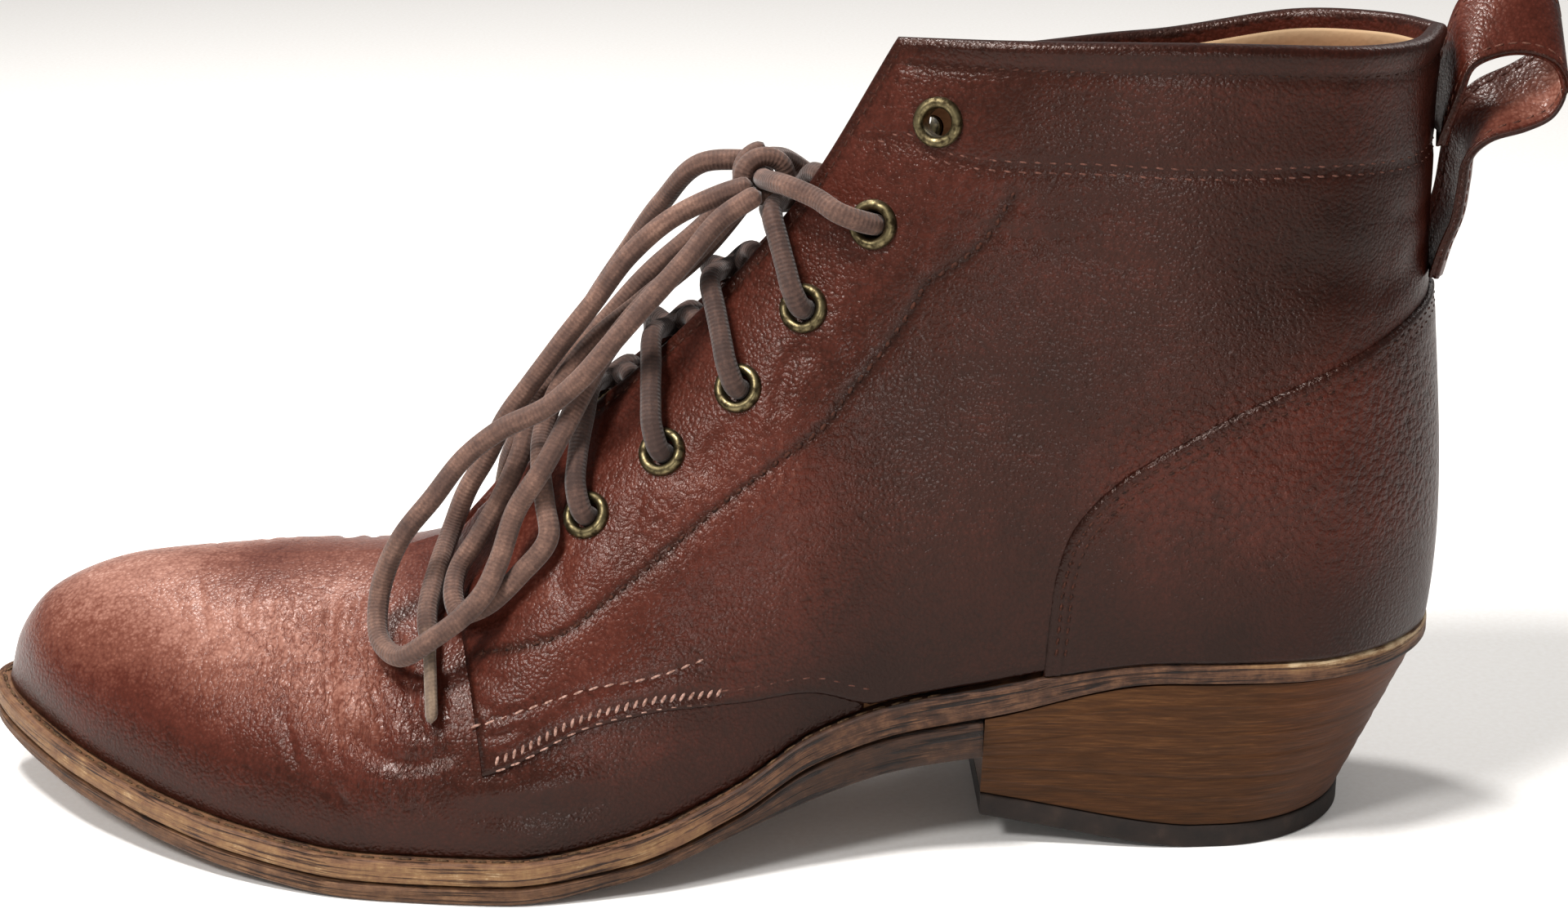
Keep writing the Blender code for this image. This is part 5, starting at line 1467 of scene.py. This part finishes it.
def put(tree, kind, inputs=None, out=0, stops=None, **settings):
    """Add one node with its settings, values, links and colour stops, and return one output."""
    made = tree.nodes.new("ShaderNode" + kind)
    for name, value in settings.items():
        setattr(made, name, value)
    wire(tree, made, inputs or {})
    if stops:
        elements = made.color_ramp.elements
        while len(elements) > 1:
            elements.remove(elements[-1])
        elements[0].position = stops[0][0]
        elements[0].color = (*to_linear(stops[0][1]), 1.0)
        for place, code in stops[1:]:
            elements.new(place).color = (*to_linear(code), 1.0)
    return made.outputs[out]


def weigh(node, value, *parts):
    """Value plus every part's field times its weight."""
    for field, weight in parts:
        value = node("Math", {0: field, 1: weight, 2: value}, operation="MULTIPLY_ADD")
    return value


def start_material(name, marks=()):
    """New material, its way to add a node, object coordinates and the fields of the named marks."""
    material = bpy.data.materials.new(name)
    material.use_nodes = True
    node = partial(put, material.node_tree)
    place = node("TexCoord", out="Object")
    return material, node, place, [node("Attribute", out="Fac", attribute_name=mark) for mark in marks]


def finish(material, inputs):
    """Set and link the inputs of the material's shader."""
    tree = material.node_tree
    wire(tree, tree.nodes["Principled BSDF"], inputs)
    return material


def calf_leather(name, stops, shine, lift=0.0):
    """Aniline calf leather, drum dyed and waxed: grain, fine flex wrinkles, a tone of painted highlights and
    shade with some wear, soft gloss.
    """
    material, node, place, (tone, flex, pebble, edge) = start_material(name, LEATHER_MARKS)
    # Dye takes unevenly over 20 mm and over 3 mm
    broad = node("TexNoise", {"Vector": place, "Scale": 50.0, "Detail": 3.0})
    patch = node("TexNoise", {"Vector": place, "Scale": 330.0, "Detail": 4.0, "Roughness": 0.65})
    # Grain cells of 0.7, 0.4 and, where it is coarse, 1.2 mm, larger than real so that they show
    warp = node("TexNoise", {"Vector": place, "Scale": 500.0, "Detail": 2.0}, "Color")
    bent = node("VectorMath", {0: warp, "Scale": 0.0007}, operation="SCALE")
    bent = node("VectorMath", {0: place, 1: bent}, operation="ADD")
    cells, small, coarse = [node("TexVoronoi", {"Vector": bent, "Scale": scale})
                            for scale in (1350.0, 2300.0, 820.0)]
    grain = node("Mix", {"Factor": pebble, "A": cells, "B": coarse}, "Result")
    grain = weigh(node, grain, (small, 0.35))
    # Flex wrinkles stand upright on the toe: 1.6 mm apart and about 10 mm long
    tall = node("Mapping", {"Vector": bent, "Scale": (620.0, 360.0, 95.0), "Rotation": (0.0, 0.25, 0.0)})
    wrinkle = node("TexNoise", {"Vector": tall, "Scale": 1.0, "Detail": 3.0, "Distortion": 0.6})
    folds = node("Math", {0: wrinkle, 1: 0.5}, operation="SUBTRACT")
    folds = node("Math", {0: folds}, operation="ABSOLUTE")
    folds = node("MapRange", {"Value": folds, "From Max": 0.09})
    furrow = node("Math", {0: 1.0, 1: folds}, operation="SUBTRACT")
    furrow = node("Math", {0: furrow, 1: flex}, operation="MULTIPLY")
    # Scuffs: thin pale scratches about 11 mm long
    swipe = node("Mapping", {"Vector": place, "Scale": (90.0, 90.0, 900.0), "Rotation": (0.0, 0.5, 0.0)})
    scuff = node("TexNoise", {"Vector": swipe, "Scale": 1.0, "Detail": 5.0, "Roughness": 0.7})
    scuff = node("MapRange", {"Value": scuff, "From Min": 0.60, "From Max": 0.74})
    # The tone mark paints highlights and shade, the edge mark darkens cut edges and paints shade in the seam
    # troughs, and the flex furrows are painted a little darker as shade
    value = weigh(node, 0.16 + lift, (tone, 0.40), (broad, 0.30), (patch, 0.22), (edge, -0.24), (scuff, 0.10),
                  (grain, -0.16), (furrow, -0.07))
    colour = node("ValToRGB", {"Fac": value}, stops=stops)
    rough = node("MapRange", {"Value": patch, "To Min": shine - 0.08, "To Max": shine + 0.12})
    rough = weigh(node, rough, (scuff, 0.12))
    depth = weigh(node, -0.42, (pebble, -0.95))
    height = node("Math", {0: grain, 1: depth}, operation="MULTIPLY")
    height = weigh(node, height, (furrow, -0.55))
    bump = node("Bump", {"Height": height, "Strength": 0.9, "Distance": 0.00022})
    return finish(material, {
        "Base Color": colour, "Roughness": rough, "Normal": bump, "Coat Normal": bump, "IOR": 1.45,
        "Specular IOR Level": 0.20, "Specular Tint": (1.0, 0.58, 0.45, 1.0), "Coat Weight": 0.20,
        "Coat Roughness": 0.21})


def lining_leather(colour):
    """Undyed pigskin lining: dry tan, hair holes 1.2 mm apart, pale and frayed at the top edge."""
    material, node, place, (worn,) = start_material("pigskin lining", ["tone"])
    patch = node("TexNoise", {"Vector": place, "Scale": 140.0, "Detail": 5.0})
    pores = node("TexVoronoi", {"Vector": place, "Scale": 820.0})
    dark = [0.62 * x for x in colour]
    base = node("Mix", {"Factor": patch, "A": (*dark, 1.0), "B": (*colour, 1.0)}, **COLOUR_MIX)
    pale = node("Mix", {"Factor": worn, "A": base, "B": (*to_linear("cfb68e"), 1.0)}, **COLOUR_MIX)
    bump = node("Bump", {"Height": pores, "Strength": 0.5, "Distance": 0.00012})
    return finish(material, {"Base Color": pale, "Normal": bump, "Roughness": 0.78})


def sole_leather(name, stops):
    """Vegetable tanned sole leather: a waxed cut edge with fibres along it and dark splits."""
    material, node, place, (tone,) = start_material(name, ["tone"])
    flat = node("UVMap", uv_map="pattern")
    # Fibres of the cut edge: 5 mm long and 0.7 mm apart, splits 25 mm long, mottled over 3 mm
    run = node("Mapping", {"Vector": flat, "Scale": (190.0, 1500.0, 1.0)})
    fibre = node("TexNoise", {"Vector": run, "Scale": 1.0, "Detail": 5.0, "Roughness": 0.65})
    run = node("Mapping", {"Vector": flat, "Scale": (40.0, 420.0, 1.0)})
    split = node("TexNoise", {"Vector": run, "Scale": 1.0, "Detail": 6.0, "Roughness": 0.7,
                              "Distortion": 0.4})
    split = node("MapRange", {"Value": split, "From Min": 0.54, "From Max": 0.62})
    blot = node("TexNoise", {"Vector": place, "Scale": 300.0, "Detail": 6.0, "Roughness": 0.7})
    value = weigh(node, -0.05, (fibre, 0.60), (blot, 0.70), (tone, 0.34), (split, -0.42))
    colour = node("ValToRGB", {"Fac": value}, stops=stops)
    height = weigh(node, fibre, (split, -1.2))
    bump = node("Bump", {"Height": height, "Strength": 0.8, "Distance": 0.00022})
    return finish(material, {"Base Color": colour, "Normal": bump, "Roughness": 0.6,
                             "Specular IOR Level": 0.3})


def stack_leather(colour):
    """Stacked leather heel, sanded and waxed: fine level fibres, a dark line at each layer, redder behind."""
    material, node, place, (back, drop) = start_material("stacked leather", ["tone", "drop"])
    level = node("Mapping", {"Vector": place, "Scale": (150.0, 150.0, 2600.0)})
    fibre = node("TexNoise", {"Vector": level, "Scale": 1.0, "Detail": 5.0, "Roughness": 0.7})
    broad = node("Mapping", {"Vector": place, "Scale": (40.0, 40.0, 420.0)})
    streak = node("TexNoise", {"Vector": broad, "Scale": 1.0, "Detail": 3.0})
    layers = float(bpy.context.scene.boot_sizes.heel_layers)
    saw = node("Math", {0: drop, 1: layers}, operation="MULTIPLY")
    saw = node("Math", {0: saw, 1: 1.0}, operation="PINGPONG")
    joint = node("MapRange", {"Value": saw, "From Max": 0.10, "To Min": 1.0, "To Max": 0.0})
    value = weigh(node, -0.02, (fibre, 0.95), (streak, 0.28), (joint, -0.10), (drop, -0.12))
    plain, red = [node("ValToRGB", {"Fac": value}, stops=stops) for stops in (
        ((0.15, "120803"), (0.40, "2b1608"), (0.58, "412511"), (0.80, "624023")),
        ((0.15, "180802"), (0.45, "391706"), (0.65, "50240d"), (0.85, "6a3b1a")))]
    mixed = node("Mix", {"Factor": back, "A": plain, "B": red}, **COLOUR_MIX)
    tint = node("Mix", {"Factor": 0.18, "A": mixed, "B": (*colour, 1.0)}, **COLOUR_MIX)
    bump = node("Bump", {"Height": fibre, "Strength": 0.6, "Distance": 0.00012})
    return finish(material, {"Base Color": tint, "Normal": bump, "Roughness": 0.5, "Specular IOR Level": 0.2,
                             "Specular Tint": (1.0, 0.75, 0.55, 1.0)})


def heel_rubber():
    """Moulded rubber top lift: near black brown, dusty, with grit of 0.5 mm worn into it."""
    material, node, place, _ = start_material("moulded heel rubber")
    dust = node("TexNoise", {"Vector": place, "Scale": 260.0, "Detail": 6.0})
    grit = node("TexNoise", {"Vector": place, "Scale": 2000.0, "Detail": 2.0})
    colour = node("ValToRGB", {"Fac": dust}, stops=((0.30, "120b08"), (0.60, "1f1510"), (0.85, "34271f")))
    bump = node("Bump", {"Height": grit, "Strength": 0.5, "Distance": 0.0001})
    return finish(material, {"Base Color": colour, "Normal": bump, "Roughness": 0.72,
                             "Specular IOR Level": 0.3})


def antique_brass(colour):
    """Antique brass, plated and rubbed: dark and bright in random patches, smoother where it is brighter."""
    material, node, place, _ = start_material("antique brass")
    rub = node("TexNoise", {"Vector": place, "Scale": 900.0, "Detail": 4.0})
    rub = node("MapRange", {"Value": rub, "From Min": 0.35, "From Max": 0.65})
    mixed = node("Mix", {"Factor": rub, "A": (*to_linear("2f271a"), 1.0), "B": (*colour, 1.0)}, **COLOUR_MIX)
    rough = node("MapRange", {"Value": rub, "To Min": 0.55, "To Max": 0.34})
    return finish(material, {"Base Color": mixed, "Roughness": rough, "Metallic": 1.0})


def lace_cotton(colour, pitch):
    """Waxed cotton lace, round braid of 8 strands: dull, paler in random patches, bare tips stiff and grey.
    """
    material, node, place, (tip, shade) = start_material("waxed cotton lace", LACE_MARKS)
    flat = node("UVMap", uv_map="pattern")
    along, around = [node("SeparateXYZ", {"Vector": flat}, axis) for axis in "XY"]
    along = node("Math", {0: along, 1: 2 * np.pi / (pitch / 4.0)}, operation="MULTIPLY")
    around = node("Math", {0: around, 1: 8 * np.pi}, operation="MULTIPLY")
    one, two = [node("Math", {0: node("Math", {0: along, 1: around}, operation=turn)}, operation="SINE")
                for turn in ("ADD", "SUBTRACT")]
    braid = node("Math", {0: one, 1: two}, operation="MULTIPLY")
    fuzz = node("TexNoise", {"Vector": place, "Scale": 2600.0, "Detail": 3.0})
    worn = node("TexNoise", {"Vector": place, "Scale": 170.0, "Detail": 5.0, "Roughness": 0.65})
    value = weigh(node, -0.06, (braid, 0.05), (fuzz, 0.35), (worn, 0.80), (shade, 1.0))
    cloth, waxed = [node("ValToRGB", {"Fac": value}, stops=stops) for stops in (
        ((0.25, "2a1b16"), (0.48, "4c362d"), (0.62, "654a3e"), (0.82, "8a6a5a")),
        ((0.3, "46372c"), (0.55, "6f5d4c"), (0.8, "8e7c68")))]
    mixed = node("Mix", {"Factor": tip, "A": cloth, "B": waxed}, **COLOUR_MIX)
    tint = node("Mix", {"Factor": 0.15, "A": mixed, "B": (*colour, 1.0)}, **COLOUR_MIX)
    height = weigh(node, braid, (fuzz, 0.8))
    bump = node("Bump", {"Height": height, "Strength": 0.6, "Distance": 0.00010})
    return finish(material, {"Base Color": tint, "Normal": bump, "Roughness": 0.8, "Specular IOR Level": 0.25,
                             "Sheen Weight": 0.15, "Sheen Roughness": 0.5})


def bonded_thread(name, dark, pale):
    """Bonded nylon thread, twisted: a soft sheen and a fine ply."""
    material, node, place, _ = start_material(name)
    ply = node("TexNoise", {"Vector": place, "Scale": 1700.0, "Detail": 3.0})
    colour = node("ValToRGB", {"Fac": ply}, stops=((0.35, dark), (0.65, pale)))
    bump = node("Bump", {"Height": ply, "Strength": 0.5, "Distance": 0.00008})
    return finish(material, {"Base Color": colour, "Normal": bump, "Roughness": 0.7,
                             "Specular IOR Level": 0.15})


def paper_floor():
    """Matte paper sweep, nearly white."""
    material, node, place, _ = start_material("matte paper floor")
    fibre = node("TexNoise", {"Vector": place, "Scale": 900.0, "Detail": 3.0})
    colour = node("ValToRGB", {"Fac": fibre}, stops=((0.3, "f1efec"), (0.7, "f6f5f3")))
    return finish(material, {"Base Color": colour, "Roughness": 0.9})


LEATHER_STOPS = ((0.00, "130402"), (0.20, "270d07"), (0.40, "431c14"), (0.56, "5f362b"),
                 (0.72, "8a6154"), (0.88, "b8968a"), (1.00, "d6bdb3"))


def leather():
    """The calf leather that vamp, quarters, counter and strap share, made once."""
    found = bpy.data.materials.get("aniline calf leather")
    return found or calf_leather("aniline calf leather", LEATHER_STOPS, 0.40)


# Operators, one for each piece or group of like pieces


class BOOT_OT_upper(bpy.types.Operator):
    """Build the vamp, quarters, heel counter and lining"""
    bl_idname = "boot.upper"
    bl_label = "Upper"

    def execute(self, context):
        colours = context.scene.boot_colours
        make_vamp(leather())
        quarter = make_quarter(leather())
        make_counter(leather())
        lining = make_lining(lining_leather(tuple(colours.lining)))
        punch_holes([quarter, lining])
        return {"FINISHED"}


class BOOT_OT_stitches(bpy.types.Operator):
    """Sew the rows of thread on the panels"""
    bl_idname = "boot.stitches"
    bl_label = "Stitches"

    def execute(self, context):
        dark = bonded_thread("bonded thread dark brown", "1c0d08", "422318")
        light = bonded_thread("bonded thread worn", "694a3e", "a8867a")
        plain = bonded_thread("bonded thread brown", "341a13", "66443a")
        make_stitches(dark, light, plain)
        return {"FINISHED"}


class BOOT_OT_tongue(bpy.types.Operator):
    """Build the tongue"""
    bl_idname = "boot.tongue"
    bl_label = "Tongue"

    def execute(self, context):
        make_tongue(calf_leather("milled tongue leather", LEATHER_STOPS, 0.52, -0.06))
        return {"FINISHED"}


class BOOT_OT_eyelets(bpy.types.Operator):
    """Set the twelve eyelets"""
    bl_idname = "boot.eyelets"
    bl_label = "Eyelets"

    def execute(self, context):
        make_eyelets(antique_brass(tuple(context.scene.boot_colours.brass)))
        return {"FINISHED"}


class BOOT_OT_laces(bpy.types.Operator):
    """Thread the lace through the eyelets and tie the bow"""
    bl_idname = "boot.laces"
    bl_label = "Laces"

    def execute(self, context):
        material = lace_cotton(tuple(context.scene.boot_colours.lace), context.scene.boot_sizes.braid)
        make_laces(material)
        return {"FINISHED"}


class BOOT_OT_strap(bpy.types.Operator):
    """Build the pull strap at the back"""
    bl_idname = "boot.strap"
    bl_label = "Pull strap"

    def execute(self, context):
        make_strap(leather(), bonded_thread("bonded thread strap", "3a1f18", "6b4438"))
        return {"FINISHED"}


class BOOT_OT_sole(bpy.types.Operator):
    """Build the midsole and outsole and finish the insole"""
    bl_idname = "boot.sole"
    bl_label = "Sole"

    def execute(self, context):
        tan = (("midsole leather", ((0.05, "160b06"), (0.30, "3c2416"), (0.50, "664630"), (0.68, "80603f"),
                                    (0.95, "cdb794"))),
               ("outsole leather", ((0.05, "140a06"), (0.32, "362012"), (0.55, "5c3f2a"), (0.80, "836345"))))
        midsole = sole_leather(*tan[0])
        outsole = sole_leather(*tan[1])
        make_soles(midsole, outsole, bonded_thread("waxed linen thread", "2e1f14", "5c4631"))
        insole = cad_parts["insole"]
        insole.data.materials.clear()
        insole.data.materials.append(lining_leather(tuple(context.scene.boot_colours.lining)))
        return {"FINISHED"}


class BOOT_OT_heel(bpy.types.Operator):
    """Build the stacked heel and its lift"""
    bl_idname = "boot.heel"
    bl_label = "Heel"

    def execute(self, context):
        make_heel(stack_leather(tuple(context.scene.boot_colours.heel)), heel_rubber())
        return {"FINISHED"}


# Camera of the photograph: angles in degrees, distance and aim in metres, lens in millimetres
VIEW_AZIMUTH = -1.9727
VIEW_ELEVATION = 20.0
VIEW_ROLL = 0.7134
VIEW_DISTANCE = 0.620
VIEW_AIM = (-0.09202, 0.0, 0.06866)
VIEW_LENS = 76.058
# Colour of all light, the point the lamps look at and half the floor's width
WARM_WHITE = (1.0, 0.98, 0.96)
LIGHT_AIM = (-0.09, 0.0, 0.06)
FLOOR_HALF = 4.0


class BOOT_OT_stage(bpy.types.Operator):
    """Set up the floor, the soft lights and the camera"""
    bl_idname = "boot.stage"
    bl_label = "Stage"

    def execute(self, context):
        scene = context.scene
        mesh = bpy.data.meshes.new("floor")
        corners = [(x * FLOOR_HALF, y * FLOOR_HALF, 0) for x, y in ((-1, -1), (1, -1), (1, 1), (-1, 1))]
        mesh.from_pydata(corners, [], [(0, 1, 2, 3)])
        mesh.materials.append(paper_floor())
        floor = bpy.data.objects.new("floor", mesh)
        scene.collection.objects.link(floor)
        world = bpy.data.worlds.new("soft room")
        world.use_nodes = True
        wire(world.node_tree, world.node_tree.nodes["Background"],
             {"Color": (*WARM_WHITE, 1.0), "Strength": 0.30})
        scene.world = world
        for name, place, size, power in (
                ("key light", (-0.60, -0.55, 0.70), 0.18, 4.6),
                ("vamp light", (-0.34, -0.22, 0.72), 0.14, 6.6),
                ("toe light", (-0.30, 0.30, 0.62), 0.12, 3.2),
                ("fill light", (0.02, -1.25, 0.16), 0.16, 2.6),
                ("back light", (0.70, 0.80, 0.80), 0.60, 3.0)):
            data = bpy.data.lights.new(name, "AREA")
            data.energy = power
            data.size = size
            data.shape = "DISK"
            data.color = WARM_WHITE
            lamp = bpy.data.objects.new(name, data)
            lamp.location = place
            aim = Vector(LIGHT_AIM) - Vector(place)
            lamp.rotation_euler = aim.to_track_quat("-Z", "Y").to_euler()
            scene.collection.objects.link(lamp)
        azimuth = np.radians(VIEW_AZIMUTH)
        elevation = np.radians(VIEW_ELEVATION)
        level = np.cos(elevation)
        back = Vector((np.sin(azimuth) * level, -np.cos(azimuth) * level, np.sin(elevation)))
        right = Vector((0, 0, 1)).cross(back).normalized()
        up = back.cross(right)
        data = bpy.data.cameras.new("photo camera")
        data.sensor_width = 36.0
        data.lens = VIEW_LENS
        data.clip_start = 0.01
        camera = bpy.data.objects.new("photo camera", data)
        turn = Matrix((right, up, back)).transposed() @ Matrix.Rotation(np.radians(VIEW_ROLL), 3, "Z")
        camera.matrix_world = Matrix.Translation(Vector(VIEW_AIM) + back * VIEW_DISTANCE) @ turn.to_4x4()
        scene.collection.objects.link(camera)
        scene.camera = camera
        scene.view_settings.view_transform = "Standard"
        return {"FINISHED"}


PIECES = (BOOT_OT_stage, BOOT_OT_laces, BOOT_OT_upper, BOOT_OT_stitches, BOOT_OT_tongue,
          BOOT_OT_eyelets, BOOT_OT_strap, BOOT_OT_sole, BOOT_OT_heel)


class BOOT_PT_panel(bpy.types.Panel):
    """Lists the boot's pieces, sizes and colours"""
    bl_idname = "BOOT_PT_panel"
    bl_label = "Lace up ankle boot"
    bl_space_type = "VIEW_3D"
    bl_region_type = "UI"
    bl_category = "Boot"

    def draw(self, context):
        layout = self.layout
        for group in (context.scene.boot_sizes, context.scene.boot_colours):
            for name in group.__annotations__:
                layout.prop(group, name)
        for piece in PIECES:
            layout.operator(piece.bl_idname)


CLASSES = (BootSizes, BootColours) + PIECES + (BOOT_PT_panel,)


def register():
    """Register the classes and hang the properties on the scene."""
    for item in CLASSES:
        bpy.utils.register_class(item)
    bpy.types.Scene.boot_sizes = PointerProperty(type=BootSizes)
    bpy.types.Scene.boot_colours = PointerProperty(type=BootColours)


def unregister():
    """Take the properties and classes away again."""
    del bpy.types.Scene.boot_colours
    del bpy.types.Scene.boot_sizes
    for item in reversed(CLASSES):
        bpy.utils.unregister_class(item)


def main():
    """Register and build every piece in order."""
    register()
    bpy.ops.boot.stage()
    bpy.ops.boot.laces()
    bpy.ops.boot.upper()
    bpy.ops.boot.stitches()
    bpy.ops.boot.tongue()
    bpy.ops.boot.eyelets()
    bpy.ops.boot.strap()
    bpy.ops.boot.sole()
    bpy.ops.boot.heel()


if __name__ == "__main__":
    main()
